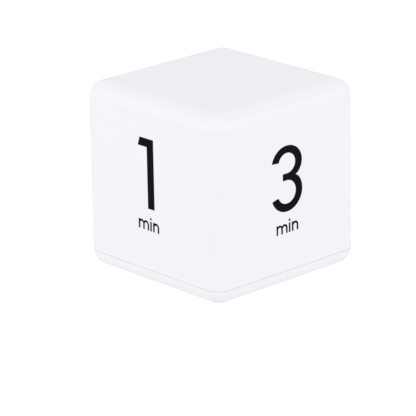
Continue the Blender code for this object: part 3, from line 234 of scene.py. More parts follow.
def make_grain_group():
    """Fine moulded or cast grain: colour with slow variation, roughness and a height."""
    tree = new_group("surface_grain", "ShaderNodeTree",
                     (("Colour", "Color"), ("Colour spread", "Float", 0.02), ("Roughness", "Float", 0.4),
                      ("Roughness spread", "Float", 0.06), ("Grain size", "Float", 1800.0),
                      ("Stretch", "Vector", (1, 1, 1))),
                     (("Colour", "Color"), ("Roughness", "Float"), ("Height", "Float")))
    nodes = add_nodes(tree, inlet="NodeGroupInput", outlet="NodeGroupOutput", place="ShaderNodeTexCoord",
                      stretch="ShaderNodeVectorMath", grain="ShaderNodeTexNoise", slow="ShaderNodeTexNoise",
                      shade="ShaderNodeMapRange", amount="ShaderNodeMath", tint="ShaderNodeVectorMath",
                      rough_shade="ShaderNodeMapRange", rough="ShaderNodeMath")
    nodes["stretch"].operation = "MULTIPLY"
    nodes["tint"].operation = "SCALE"
    nodes["amount"].operation = nodes["rough"].operation = "MULTIPLY_ADD"
    preset(nodes["grain"], {"Detail": 3.0})
    preset(nodes["slow"], {"Scale": 45.0, "Detail": 2.0})
    preset(nodes["shade"], {"To Min": -1.0, "To Max": 1.0})
    preset(nodes["rough_shade"], {"To Min": -1.0, "To Max": 1.0})
    preset(nodes["amount"], {2: 1.0})
    join(tree, nodes, ("place", "Object", "stretch", 0), ("inlet", "Stretch", "stretch", 1),
         ("stretch", 0, "grain", "Vector"), ("inlet", "Grain size", "grain", "Scale"),
         ("place", "Object", "slow", "Vector"), ("slow", "Fac", "shade", "Value"),
         ("shade", "Result", "amount", 0), ("inlet", "Colour spread", "amount", 1),
         ("inlet", "Colour", "tint", 0), ("amount", 0, "tint", "Scale"), ("tint", 0, "outlet", "Colour"),
         ("grain", "Fac", "rough_shade", "Value"), ("rough_shade", "Result", "rough", 0),
         ("inlet", "Roughness spread", "rough", 1), ("inlet", "Roughness", "rough", 2),
         ("rough", 0, "outlet", "Roughness"), ("grain", "Fac", "outlet", "Height"))
    return tree


GRAIN = make_grain_group()


def make_finish(name, colour, roughness, grain, depth, spread=0.02, rough_spread=0.06, stretch=(1, 1, 1),
                **constants):
    """A Principled material fed by the grain group; depth is in millimetres, constants are its sockets."""
    material = bpy.data.materials.new(name)
    material.use_nodes = True
    tree = material.node_tree
    nodes = add_nodes(tree, group="ShaderNodeGroup", bump="ShaderNodeBump")
    nodes["shader"] = tree.nodes["Principled BSDF"]
    nodes["group"].node_tree = GRAIN
    preset(nodes["group"], {"Colour": (*colour, 1), "Colour spread": spread, "Roughness": roughness,
                            "Roughness spread": rough_spread, "Grain size": grain, "Stretch": stretch})
    preset(nodes["bump"], {"Distance": depth * MM})
    preset(nodes["shader"], {socket.replace("_", " "): value for socket, value in constants.items()})
    join(tree, nodes, ("group", "Colour", "shader", "Base Color"),
         ("group", "Roughness", "shader", "Roughness"), ("group", "Height", "bump", "Height"),
         ("bump", "Normal", "shader", "Normal"))
    return material


CASE_WHITE = make_finish("case_white", (0.865, 0.857, 0.898), 0.42, 2400, 0.006, 0.004, 0.04)
PRINT_BLACK = make_finish("print_black", (0.0058, 0.0054, 0.0080), 0.75, 3000, 0.004, 0.10, 0.05,
                          Specular_IOR_Level=0.03)
KNOB_BLACK = make_finish("knob_black", (0.022, 0.022, 0.025), 0.45, 1500, 0.02, 0.1)
HOLDER_BLACK = make_finish("holder_black", (0.03, 0.03, 0.033), 0.5, 1500, 0.02, 0.1)
LENS_CLEAR = make_finish("lens_clear", (0.97, 0.98, 0.97), 0.03, 800, 0.0005, 0.0, 0.0,
                         Transmission_Weight=1.0, IOR=1.49)
LENS_MASK = make_finish("lens_mask", (0.02, 0.02, 0.024), 0.35, 2500, 0.004, 0.05)
DISPLAY_FACE = make_finish("display_face", (0.44, 0.49, 0.41), 0.22, 500, 0.0006, 0.03, 0.02)
DISPLAY_SEGMENT = make_finish("display_segment", (0.31, 0.35, 0.29), 0.25, 500, 0.0006, 0.03, 0.02)
SCREW_ZINC = make_finish("screw_zinc", (0.60, 0.60, 0.61), 0.30, 900, 0.006, 0.06, 0.08, (1, 1, 0.2),
                         Metallic=1.0)
CAN_STEEL = make_finish("can_steel", (0.66, 0.65, 0.63), 0.26, 700, 0.004, 0.05, 0.07, (1, 0.2, 1),
                        Metallic=1.0)
CONTACT_NICKEL = make_finish("contact_nickel", (0.73, 0.70, 0.65), 0.22, 900, 0.004, 0.05, 0.06, (1, 0.2, 1),
                             Metallic=1.0)
BALL_GOLD = make_finish("ball_gold", (0.83, 0.63, 0.28), 0.18, 900, 0.002, 0.04, 0.04, Metallic=1.0)
PIEZO_BRASS = make_finish("piezo_brass", (0.79, 0.60, 0.28), 0.32, 1200, 0.006, 0.08, 0.08, (1, 0.15, 1),
                          Metallic=1.0)
PIEZO_CERAMIC = make_finish("piezo_ceramic", (0.70, 0.67, 0.58), 0.5, 2600, 0.008, 0.05)
LEGEND_WHITE = make_finish("legend_white", (0.78, 0.78, 0.75), 0.6, 2600, 0.004)
PIEZO_SILVER = make_finish("piezo_silver", (0.74, 0.73, 0.70), 0.45, 2600, 0.010, 0.06, 0.08, Metallic=0.6)
CHIP_RESIN = make_finish("chip_resin", (0.012, 0.012, 0.014), 0.20, 600, 0.02, 0.1, 0.05)
ZEBRA_GREY = make_finish("zebra_grey", (0.25, 0.25, 0.26), 0.65, 2000, 0.01)
ZEBRA_BLACK = make_finish("zebra_black", (0.02, 0.02, 0.02), 0.6, 2000, 0.01)
SOLDER = make_finish("solder", (0.72, 0.72, 0.71), 0.25, 1300, 0.02, 0.05, 0.08, Metallic=1.0)
PART_BLACK = make_finish("part_black", (0.02, 0.02, 0.022), 0.4, 2500, 0.008, 0.08)
WIRE_RED = make_finish("wire_red", (0.52, 0.022, 0.02), 0.38, 1400, 0.006, 0.05)
WIRE_BLACK = make_finish("wire_black", (0.018, 0.018, 0.019), 0.38, 1400, 0.006, 0.05)
CELL_SLEEVE = make_finish("cell_sleeve", (0.045, 0.055, 0.075), 0.30, 1200, 0.004, 0.05, 0.05,
                          Coat_Weight=0.4)
CELL_BAND = make_finish("cell_band", (0.62, 0.45, 0.20), 0.28, 1200, 0.004, 0.05, 0.05, Metallic=0.8)


def make_board_finish():
    """Green solder mask over nested square copper tracks."""
    material = make_finish("board_green", (0.014, 0.105, 0.050), 0.34, 2200, 0.01, 0.08, 0.06)
    tree = material.node_tree
    nodes = add_nodes(tree, place="ShaderNodeTexCoord", cells="ShaderNodeTexVoronoi", rings="ShaderNodeMath",
                      track="ShaderNodeMapRange", lighter="ShaderNodeMix", heights="ShaderNodeMath")
    for name, kind in (("shader", "BsdfPrincipled"), ("group", "Group"), ("bump", "Bump")):
        nodes[name] = next(node for node in tree.nodes if node.bl_idname == "ShaderNode" + kind)
    nodes["cells"].voronoi_dimensions = "2D"
    nodes["cells"].distance = "CHEBYCHEV"
    nodes["rings"].operation = "PINGPONG"
    nodes["lighter"].data_type = "RGBA"
    nodes["heights"].operation = "ADD"
    preset(nodes["cells"], {"Scale": 150.0})
    preset(nodes["rings"], {1: 0.055})
    preset(nodes["track"], {"From Min": 0.034, "From Max": 0.038})
    preset(nodes["lighter"], {"B": (0.032, 0.185, 0.082, 1)})
    join(tree, nodes, ("place", "Object", "cells", "Vector"), ("cells", "Distance", "rings", 0),
         ("rings", 0, "track", "Value"), ("track", "Result", "lighter", "Factor"),
         ("group", "Colour", "lighter", "A"), ("lighter", "Result", "shader", "Base Color"),
         ("track", "Result", "heights", 0), ("group", "Height", "heights", 1),
         ("heights", 0, "bump", "Height"))
    return material


BOARD_GREEN = make_board_finish()


# Modelling helpers

def shade(obj, angle):
    """Smooth shading whose flats stay flat."""
    obj.data.shade_smooth()
    obj.data.set_sharp_from_angle(angle=math.radians(angle))
    weighted = obj.modifiers.new("flat_faces", "WEIGHTED_NORMAL")
    weighted.keep_sharp = True
    weighted.weight = 100


def add_piece(name, mesh, finish, stands_for=(), body="case", smooth=None):
    """A mesh at the origin that rides on a body; edges sharper than the smooth angle stay sharp."""
    obj = bpy.data.objects.new(name, mesh)
    mesh.name = name
    mesh.materials.clear()
    mesh.materials.append(finish)
    scene.collection.objects.link(obj)
    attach(obj, body)
    if stands_for:
        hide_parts(*stands_for)
    if smooth:
        shade(obj, smooth)


def cleaned(mesh):
    """The mesh with its doubles merged and its faces pointing out."""
    bm = bmesh.new()
    bm.from_mesh(mesh)
    bmesh.ops.remove_doubles(bm, verts=bm.verts, dist=TINY)
    bmesh.ops.recalc_face_normals(bm, faces=bm.faces)
    bm.to_mesh(mesh)
    bm.free()
    return mesh


def finished_mesh(guide):
    """The evaluated mesh of a scratch object, which is then removed."""
    bpy.context.view_layer.update()
    mesh = bpy.data.meshes.new_from_object(guide.evaluated_get(bpy.context.evaluated_depsgraph_get()))
    bpy.data.objects.remove(guide, do_unlink=True)
    return mesh


def scratch(name, data):
    guide = bpy.data.objects.new(name, data)
    scene.collection.objects.link(guide)
    return guide


def mesh_of(bm):
    mesh = bpy.data.meshes.new("scratch")
    bm.to_mesh(mesh)
    bm.free()
    return mesh


def moved(mesh, matrix):
    """The mesh with its place applied, its faces still pointing out."""
    mesh.transform(matrix)
    if matrix.determinant() < 0:
        mesh.flip_normals()
    return mesh


def box_mesh(low, high):
    bm = bmesh.new()
    bmesh.ops.create_cube(bm, size=1)
    size = Vector(high) - Vector(low)
    middle = (Vector(high) + Vector(low)) / 2
    bmesh.ops.transform(bm, matrix=Matrix.Translation(middle) @ Matrix.Diagonal((*size, 1)), verts=bm.verts)
    return mesh_of(bm)


def slab(centre, size, bottom, top):
    return box_mesh((centre[0] - size[0] / 2, centre[1] - size[1] / 2, bottom),
                    (centre[0] + size[0] / 2, centre[1] + size[1] / 2, top))


def rods(places, radius, bottom, top, sides=48, top_radius=None):
    """Upright cylinders, or cones where the top has a radius of its own."""
    bm = bmesh.new()
    for x, y in places:
        matrix = Matrix.Translation((x, y, (bottom + top) / 2))
        bmesh.ops.create_cone(bm, cap_ends=True, segments=sides, radius1=radius,
                              radius2=radius if top_radius is None else top_radius,
                              depth=top - bottom, matrix=matrix)
    return mesh_of(bm)


def arc(centre, radius, start, end, steps):
    """Points of an arc or, with two radii, of an ellipse, angles in degrees."""
    rx, ry = radius if isinstance(radius, tuple) else (radius, radius)
    angles = [math.radians(start + (end - start) * i / steps) for i in range(steps + 1)]
    return [(centre[0] + rx * math.cos(a), centre[1] + ry * math.sin(a)) for a in angles]


def circle(centre, radius, steps=72):
    return arc(centre, radius, 0, 360, steps)[:-1]


def rounded_rectangle(centre, size, radius, steps=10):
    points = []
    for quarter, (sx, sy) in enumerate(((1, 1), (-1, 1), (-1, -1), (1, -1))):
        corner = (centre[0] + sx * (size[0] / 2 - radius), centre[1] + sy * (size[1] / 2 - radius))
        points += arc(corner, radius, 90 * quarter, 90 * quarter + 90, steps)
    return points


def plate(outlines, bottom, top):
    """Flat outlines, inner ones as holes, extruded between two heights."""
    curve = bpy.data.curves.new("outline", "CURVE")
    curve.dimensions = "2D"
    curve.fill_mode = "BOTH"
    curve.extrude = (top - bottom) / 2
    for outline in outlines:
        spline = curve.splines.new("POLY")
        spline.points.add(len(outline) - 1)
        for point, (x, y) in zip(spline.points, outline):
            point.co = (x, y, 0, 1)
        spline.use_cyclic_u = True
    mesh = cleaned(finished_mesh(scratch("outline", curve)))
    mesh.transform(Matrix.Translation((0, 0, (top + bottom) / 2)))
    return mesh


def label(text, height, centre, level, turn, half=0.02 * MM):
    """Plain lettering on a level face, read from above or, turned over, from below."""
    curve = bpy.data.curves.new("lettering", "FONT")
    curve.body = text
    curve.size = height * CAPITAL_TO_SIZE
    curve.align_x = "CENTER"
    curve.align_y = "CENTER"
    curve.extrude = half
    mesh = cleaned(finished_mesh(scratch("lettering", curve)))
    return moved(mesh, Matrix.Translation((*centre, level)) @ Matrix.Rotation(turn, 4, "Y"))


def stack(sections):
    """A closed solid through outlines with equal numbers of points, each given with its height."""
    bm = bmesh.new()
    rings = [[bm.verts.new((x, y, height)) for x, y in outline] for outline, height in sections]
    for low, high in zip(rings, rings[1:]):
        for i in range(len(low)):
            j = (i + 1) % len(low)
            bm.faces.new((low[i], low[j], high[j], high[i]))
    bm.faces.new(rings[-1])
    bm.faces.new(list(reversed(rings[0])))
    bmesh.ops.recalc_face_normals(bm, faces=bm.faces)
    return mesh_of(bm)


def inset_rectangle(centre, size, radius, inset):
    return rounded_rectangle(centre, (size[0] - 2 * inset, size[1] - 2 * inset), max(radius - inset, TINY), 8)


def soft_plate(centre, size, radius, bottom, top, edge=0.15 * MM):
    """A plate with rounded corners and quarter-round rims."""
    sections = []
    for middle, sign in ((bottom + edge, -1), (top - edge, 1)):
        steps = range(4) if sign > 0 else range(3, -1, -1)
        for i in steps:
            a = math.pi / 2 * i / 3
            outline = inset_rectangle(centre, size, radius, edge * (1 - math.cos(a)))
            sections.append((outline, middle + sign * edge * math.sin(a)))
    return stack(sections)


def recess(centre, size, radius, top, lead=0.15 * MM):
    """The cutter of a pocket in the base face, with a small lead at its mouth."""
    return stack([(inset_rectangle(centre, size, radius, -lead - OVERRUN), SKIN_INSET - OVERRUN),
                  (inset_rectangle(centre, size, radius, 0), SKIN_INSET + lead),
                  (inset_rectangle(centre, size, radius, 0), top)])


def round_recess(places, radius, top):
    """Cutters of round pockets in the base face and of their leads."""
    lead = 0.2 * MM
    return (rods(places, radius, SKIN_INSET - OVERRUN, top),
            rods(places, radius + lead + OVERRUN, SKIN_INSET - OVERRUN, SKIN_INSET + lead, top_radius=radius))


def turned(profile, sides):
    """A (radius, height) profile, top to bottom, turned about Z."""
    bm = bmesh.new()
    verts = [bm.verts.new((radius, 0, height)) for radius, height in profile]
    for first, second in zip(verts, verts[1:]):
        bm.edges.new((first, second))
    guide = scratch("profile", mesh_of(bm))
    screw = guide.modifiers.new("turn", "SCREW")
    screw.steps = sides
    screw.render_steps = sides
    screw.use_merge_vertices = True
    screw.merge_threshold = TINY
    return cleaned(finished_mesh(guide))


class Form:
    """A mesh that other meshes are joined to or cut from, and whose edges are then softened."""

    def __init__(self, mesh):
        self.guide = scratch("form", mesh)
        self.tools = []

    def combine(self, mesh, operation):
        tool = scratch("tool", mesh)
        modifier = self.guide.modifiers.new("combine", "BOOLEAN")
        modifier.operation = operation
        modifier.solver = "EXACT"
        modifier.object = tool
        self.tools.append(tool)
        return self

    def add(self, mesh):
        return self.combine(mesh, "UNION")

    def cut(self, mesh):
        return self.combine(mesh, "DIFFERENCE")

    def keep(self, mesh):
        return self.combine(mesh, "INTERSECT")

    def soften(self, width, segments=2):
        bevel = self.guide.modifiers.new("soften", "BEVEL")
        bevel.width = width
        bevel.segments = segments
        bevel.limit_method = "ANGLE"
        bevel.angle_limit = SOFTENED_ANGLE
        bevel.use_clamp_overlap = True
        bevel.miter_outer = "MITER_ARC"
        return self

    def mesh(self):
        mesh = finished_mesh(self.guide)
        for tool in self.tools:
            bpy.data.objects.remove(tool, do_unlink=True)
        return mesh


def refined_copy(node):
    """A CAD node's mesh with its loose triangles merged back into whole faces."""
    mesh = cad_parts[node].data.copy()
    bm = bmesh.new()
    bm.from_mesh(mesh)
    bmesh.ops.remove_doubles(bm, verts=bm.verts, dist=TINY)
    bmesh.ops.dissolve_limit(bm, angle_limit=math.radians(0.5), verts=bm.verts, edges=bm.edges)
    bpy.data.meshes.remove(mesh)
    return mesh_of(bm)


# Trees for what repeats

def make_tree(name, inputs, output, kinds, links):
    """A geometry tree whose shape, once made real, takes the finish given to it."""
    tree = new_group(name, "GeometryNodeTree", (*inputs, ("Finish", "Material")), ((output, "Geometry"),))
    nodes = add_nodes(tree, inlet="NodeGroupInput", **kinds, real="GeometryNodeRealizeInstances",
                      paint="GeometryNodeSetMaterial", outlet="NodeGroupOutput")
    join(tree, nodes, *links, ("real", "Geometry", "paint", "Geometry"),
         ("inlet", "Finish", "paint", "Material"), ("paint", "Geometry", "outlet", output))
    return tree, nodes


def make_row_tree():
    """Blocks in a row: one size, a count and a step."""
    inputs = (("Count", "Int", 5), ("Start", "Vector"), ("Step", "Vector"), ("Block size", "Vector"))
    kinds = {"line": "GeometryNodeMeshLine", "block": "GeometryNodeMeshCube",
             "spread": "GeometryNodeInstanceOnPoints"}
    links = (("inlet", "Count", "line", "Count"), ("inlet", "Start", "line", "Start Location"),
             ("inlet", "Step", "line", "Offset"), ("inlet", "Block size", "block", "Size"),
             ("line", "Mesh", "spread", "Points"), ("block", "Mesh", "spread", "Instance"),
             ("spread", "Instances", "real", "Geometry"))
    return make_tree("block_row", inputs, "Blocks", kinds, links)[0]


def make_coil_tree():
    """A conical coil of round wire about Z, its ends closed."""
    inputs = (("Turns", "Float", 3.5), ("Base radius", "Float"), ("Tip radius", "Float"), ("Length", "Float"),
              ("Wire radius", "Float"))
    kinds = {"spiral": "GeometryNodeCurveSpiral", "section": "GeometryNodeCurvePrimitiveCircle",
             "sweep": "GeometryNodeCurveToMesh"}
    links = (("inlet", "Turns", "spiral", "Rotations"), ("inlet", "Base radius", "spiral", "Start Radius"),
             ("inlet", "Tip radius", "spiral", "End Radius"), ("inlet", "Length", "spiral", "Height"),
             ("inlet", "Wire radius", "section", "Radius"), ("spiral", "Curve", "sweep", "Curve"),
             ("section", "Curve", "sweep", "Profile Curve"), ("sweep", "Mesh", "real", "Geometry"))
    tree, nodes = make_tree("wire_coil", inputs, "Coil", kinds, links)
    preset(nodes["spiral"], {"Resolution": 40})
    preset(nodes["section"], {"Resolution": 14})
    preset(nodes["sweep"], {"Fill Caps": True})
    return tree


def make_wire_tree():
    """Round wire along a path, its ends closed."""
    inputs = (("Path", "Geometry"), ("Wire radius", "Float"), ("Sides", "Int", 12))
    kinds = {"section": "GeometryNodeCurvePrimitiveCircle", "sweep": "GeometryNodeCurveToMesh"}
    links = (("inlet", "Path", "sweep", "Curve"), ("inlet", "Wire radius", "section", "Radius"),
             ("inlet", "Sides", "section", "Resolution"), ("section", "Curve", "sweep", "Profile Curve"),
             ("sweep", "Mesh", "real", "Geometry"))
    tree, nodes = make_tree("wire_on_path", inputs, "Wire", kinds, links)
    preset(nodes["sweep"], {"Fill Caps": True})
    return tree


def make_copy_tree():
    """One piece set at several places, each turned about the upright by the place's own angle."""
    inputs = (("Places", "Geometry"), ("Copied piece", "Object"), ("Tilt", "Float", 0.0))
    kinds = {"source": "GeometryNodeObjectInfo", "angle": "GeometryNodeInputNamedAttribute",
             "turn": "ShaderNodeCombineXYZ", "spread": "GeometryNodeInstanceOnPoints"}
    links = (("inlet", "Places", "spread", "Points"), ("inlet", "Copied piece", "source", "Object"),
             ("source", "Geometry", "spread", "Instance"), ("inlet", "Tilt", "turn", "X"),
             ("angle", "Attribute", "turn", "Z"), ("turn", "Vector", "spread", "Rotation"),
             ("spread", "Instances", "real", "Geometry"))
    tree, nodes = make_tree("placed_copies", inputs, "Copies", kinds, links)
    nodes["angle"].data_type = "FLOAT"
    preset(nodes["angle"], {"Name": "turn"})
    return tree


ROW_TREE = make_row_tree()
COIL_TREE = make_coil_tree()
WIRE_TREE = make_wire_tree()
COPY_TREE = make_copy_tree()


def grown(tree, values, start=None):
    """The plain mesh that a tree makes from its named inputs and, where it has one, a starting shape."""
    guide = scratch("grown", start or bpy.data.meshes.new("grown"))
    modifier = guide.modifiers.new("grow", "NODES")
    modifier.node_group = tree
    for item in tree.interface.items_tree:
        if item.in_out == "INPUT" and item.name in values:
            modifier[item.identifier] = values[item.name]
    return cleaned(finished_mesh(guide))


def block_row(count, start, step, size, finish):
    values = {"Count": count, "Start": start, "Step": step, "Block size": size, "Finish": finish}
    return grown(ROW_TREE, values)


def wire(points, radius, finish, sides=12):
    """Round wire along points."""
    path = bpy.data.curves.new("path", "CURVE")
    path.dimensions = "3D"
    spline = path.splines.new("POLY")
    spline.points.add(len(points) - 1)
    for point, place in zip(spline.points, points):
        point.co = (*place, 1)
    return grown(WIRE_TREE, {"Wire radius": radius, "Sides": sides, "Finish": finish}, path)


def copies(mesh, places, turns, finish, tilt=0.0):
    """One mesh of equal pieces at the places, each turned by its own angle."""
    points = bpy.data.meshes.new("places")
    points.from_pydata([tuple(place) for place in places], [], [])
    points.attributes.new("turn", "FLOAT", "POINT").data.foreach_set("value", turns)
    source = scratch("copied", mesh)
    made = grown(COPY_TREE, {"Copied piece": source, "Tilt": tilt, "Finish": finish}, points)
    bpy.data.objects.remove(source, do_unlink=True)
    return made


# Case shell

INNER_HALF = HALF - WALL
TOP_INSIDE = CUBE_TOP - WALL
LIP_TOP = 7.65 * MM
POST_PLACE = HALF - 8.3 * MM
POST_RADIUS = 3.0 * MM
POST_HOLE_TOP = 14.2 * MM
RIB_HALF = 0.6 * MM
RIB_START = LIP_TOP + 3.5 * MM
SHANK_RADIUS = 1.2 * MM
BUZZER_RING_RADIUS = 13.8 * MM
BUZZER_RING_WALL = 1.0 * MM
BUZZER_RING_DEPTH = 2.2 * MM
CORNERS = [(sx * POST_PLACE, sy * POST_PLACE) for sx in (-1, 1) for sy in (-1, 1)]


def open_case(bottom, top, open_end):
    """Five faces of a cube with rounded edges and an even wall."""
    bm = bmesh.new()
    bmesh.ops.create_cube(bm, size=1)
    side = 2 * (HALF - SKIN_INSET)
    matrix = Matrix.Translation((0, 0, (bottom + top) / 2)) @ Matrix.Diagonal((side, side, top - bottom, 1))
    bmesh.ops.transform(bm, matrix=matrix, verts=bm.verts)
    opening = [face for face in bm.faces if face.normal.z * open_end > 0.5]
    bmesh.ops.delete(bm, geom=opening, context="FACES_ONLY")
    guide = scratch("case", mesh_of(bm))
    bevel = guide.modifiers.new("round_edges", "BEVEL")
    bevel.width = EDGE_RADIUS
    bevel.segments = EDGE_STEPS
    bevel.limit_method = "ANGLE"
    wall = guide.modifiers.new("wall", "SOLIDIFY")
    wall.thickness = WALL
    wall.offset = -1
    wall.use_even_offset = True
    return finished_mesh(guide)


def make_case_shell():
    """The five-sided shell with its screw posts, their ribs and the ring of the buzzer."""
    rim = PARTING_HEIGHT + PARTING_LINE / 2
    form = Form(open_case(rim, CUBE_TOP - SKIN_INSET, -1))
    root = TOP_INSIDE + OVERRUN / 2
    form.add(rods(CORNERS, POST_RADIUS, rim + FIT / 2, root))
    for x, y in CORNERS:
        far_x = math.copysign(INNER_HALF + OVERRUN / 2, x)
        far_y = math.copysign(INNER_HALF + OVERRUN / 2, y)
        form.add(box_mesh((min(x, far_x), y - RIB_HALF, RIB_START), (max(x, far_x), y + RIB_HALF, root)))
        form.add(box_mesh((x - RIB_HALF, min(y, far_y), RIB_START), (x + RIB_HALF, max(y, far_y), root)))
    ring = [circle((0, 0), BUZZER_RING_RADIUS + BUZZER_RING_WALL), circle((0, 0), BUZZER_RING_RADIUS)]
    form.add(plate(ring, TOP_INSIDE - BUZZER_RING_DEPTH, root))
    form.cut(rods(CORNERS, SHANK_RADIUS + FIT, rim - OVERRUN, POST_HOLE_TOP))
    add_piece("case_shell", form.mesh(), CASE_WHITE, ["housing_shell"], smooth=25)


# Number faces: each outline is drawn in millimetres, u to the right and z up, as seen from outside

def scaled(outline):
    return [(x * MM, y * MM) for x, y in outline]


def figure_one(left=-0.65, right=2.65):
    bottom, flag_bottom, top = 28.0, 49.9, 52.95
    return [[(right, bottom), (right, top), (left - 3.5, top), (left - 4.5, flag_bottom), (left, flag_bottom),
             (left, bottom)]]


def figure_three():
    upper, upper_outer, upper_inner = (-0.80, 44.3), (7.1, 6.25), (3.9, 3.6)
    lower, lower_outer, lower_inner = (-0.90, 34.1), (7.3, 7.0), (4.2, 4.15)
    outline = arc(upper, upper_outer, 171, -42, 40)
    outline += [(3.3, 39.45)]
    outline += arc(lower, lower_outer, 43, -162, 40)
    outline += arc(lower, lower_inner, -160, 85, 36)
    outline += [(-2.8, lower[1] + lower_inner[1]), (-2.8, upper[1] - upper_inner[1])]
    outline += arc(upper, upper_inner, -86, 168, 36)
    return [outline]


def figure_five():
    bowl, outer, inner = (-0.5, 34.7), (7.2, 7.55), (4.1, 4.7)
    outline = [(5.7, 47.8), (5.7, 50.4), (-5.4, 50.4), (-6.5, 37.0), (-4.3, 36.4)]
    outline += arc(bowl, inner, 158, -152, 44)
    outline += arc(bowl, outer, -156, 116, 52)
    outline += [(-2.95, 47.8)]
    return [outline]


def figure_ten():
    nought = [circle((4.6, 40.3), radii, 64) for radii in ((7.2, 12.3), (4.1, 9.6))]
    return figure_one(left=-8.6, right=-5.3) + nought


def letter_n(first, others, base, top, half):
    """An n from the places of its stems, or an m when there are three."""
    stems = [first, *others]
    radius = (stems[1] - stems[0]) / 2 + half
    meeting = math.degrees(math.acos((stems[1] - stems[0]) / 2 / radius))
    outline = [(first - half, base), (first - half, top), (first + half, top)]
    for number, (left, right) in enumerate(zip(stems, stems[1:])):
        begin = 180 - meeting if number else math.degrees(math.acos((left + 2 * half - right) / 2 / radius))
        end = meeting if right != stems[-1] else 0
        outline += arc(((left + right) / 2, top - radius), radius, begin, end, 14)
    outline += [(stems[-1] + half, base), (stems[-1] - half, base)]
    for left, right in reversed(list(zip(stems, stems[1:]))):
        outline += arc(((left + right) / 2, top - radius), radius - 2 * half, 0, 180, 14)
        outline += [(left + half, base)]
        if left != first:
            outline += [(left - half, base)]
    return outline


def word_min(centre, base):
    """The word min in thin round-shouldered letters."""
    half = LETTER_STROKE / 2
    top = base + LETTER_HEIGHT
    m = letter_n(centre - 4.8, (centre - 2.55, centre - 0.3), base, top, half)
    stem = centre + 1.05
    i = [(stem - half, base), (stem + half, base), (stem + half, top), (stem - half, top)]
    dot = circle((stem, top + LETTER_DOT_RISE), half * 1.15, 20)
    n = letter_n(centre + 2.5, (centre + 4.8,), base, top, half)
    return [m, i, dot, n]


def face_matrix(outward):
    """Maps a drawing's right, up and height onto a face."""
    up = Vector((0, 0, 1))
    right = up.cross(outward)
    matrix = Matrix((right, up, outward)).transposed().to_4x4()
    return Matrix.Translation(outward * (HALF - SKIN_INSET)) @ matrix


def make_face_prints():
    faces = (("one", Vector((0, -1, 0)), figure_one(), (-0.45, 20.15)),
             ("three", Vector((1, 0, 0)), figure_three(), (-0.8, 19.5)),
             ("five", Vector((0, 1, 0)), figure_five(), (-0.35, 19.8)),
             ("ten", Vector((-1, 0, 0)), figure_ten(), (-0.35, 19.8)))
    for name, outward, figure, (middle, base) in faces:
        outlines = [scaled(outline) for outline in figure + word_min(middle, base)]
        mesh = moved(plate(outlines, -PRINT_RISE, PRINT_RISE), face_matrix(outward))
        add_piece(f"print_{name}_min", mesh, PRINT_BLACK)


# Base cover

# Directions for outlines that are extruded along X or Y
ALONG_X = Matrix(((0, 0, 1, 0), (1, 0, 0, 0), (0, 1, 0, 0), (0, 0, 0, 1)))
ALONG_Y = Matrix(((1, 0, 0, 0), (0, 0, 1, 0), (0, 1, 0, 0), (0, 0, 0, 1)))

# Rim, lip and bosses
COVER_RIM = PARTING_HEIGHT - PARTING_LINE / 2
INNER_LIP = mm(29.8, 31.0)
WALL_ROOT = WALL - 0.5 * MM
COVER_BOSS_RADIUS = 3.7 * MM
BOARD_SCREWS = [(x * MM, y * MM) for x in (-24.2, 24.2) for y in (6.8, 17.8)]
BOARD_BOSS_RADIUS, BOARD_BOSS_TOP = mm(2.2, 6.7)
BOARD_BOSS_BORE, BOARD_BOSS_BORE_FOOT = mm(1.1, 3.3)

# Cells with their marks and springs
CELL_RADIUS, CELL_LENGTH = mm(5.25, 44.5)
CELL_AXIS_Z = 7.30 * MM
CELL_Y = mm(-14.7, -3.7)
CELL_TIP_X = 24.2 * MM
NIPPLE_HEIGHT = 1.0 * MM
MARK_HEIGHT = 2.6 * MM
# Ends of the gilt band, in millimetres below the shoulder
BAND_ENDS = (0.5, 7.5)
# Name, words, place along the cell in millimetres, and finish
CELL_MARKS = (("size", "AAA 1.5 V", 0.0, LEGEND_WHITE), ("plus", "+", 19.2, PRINT_BLACK),
              ("minus", "-", -17.0, LEGEND_WHITE))
CONTACT_X = 25.0 * MM
SPRING_WIRE, SPRING_TURNS = 0.28 * MM, 3.5
SPRING_BASE, SPRING_TIP = mm(3.4, 2.0)
SPRING_TIP_X = 20.3 * MM

# Battery well, contact pockets and slots
WELL_Y = (CELL_Y[0] + CELL_Y[1]) / 2
WELL_RADIUS, WELL_WALL = mm(5.55, 1.2)
WELL_HALF = mm(25.7, 11.05)
POCKET_TOP, POCKET_DEPTH = mm(12.2, 1.2)
CONTACT_SLOT, CONTACT_SLOT_X = mm(1.0, 3.0), CONTACT_X + 0.2 * MM

# Door with its hinge, latch and grip
DOOR_HALF = mm(26.7, 12.05)
DOOR_LOW, DOOR_HIGH = mm(0.15, 1.75)
DOOR_CORNER, DOOR_EDGE = mm(1.0, 0.2)
REBATE_CORNER = 0.6 * MM
HINGE_Y, HINGE_Z, HINGE_RADIUS = mm(-20.45, 0.95, 0.8)
HINGE_TABS = mm(-12, 12)
HINGE_TAB, HINGE_TAB_THICKNESS = mm(6.0, 3.0), 0.7 * MM
HINGE_TAB_SETBACK = 0.7 * MM
HINGE_POCKET_LOW = mm(3.3, 2.8, 0.75)
HINGE_POCKET_HIGH = mm(3.3, 1.1, 3.7)
DOOR_RIB, DOOR_RIB_HEIGHT = mm(40.0, 1.2), 1.2 * MM
BEAD_RADIUS, BEAD_HALF_LENGTH = mm(0.35, 4.0)
BEAD_ROOT, BEAD_CENTRE = mm(0.7, 0.17)
FINGER_GROOVE, FINGER_GROOVE_DEPTH = mm(12.0, 0.6), 0.4 * MM
FINGER_GROOVES, FINGER_GROOVE_PITCH = 3, 1.4 * MM
ARROW, ARROW_DEPTH = mm(2.2, 2.6), 0.2 * MM
ARROW_SETBACK = 9.0 * MM
SCOOP_CENTRE, SCOOP_RADIUS, SCOOP_DEPTH = mm(0, -1.35), 6.5 * MM, 1.1 * MM

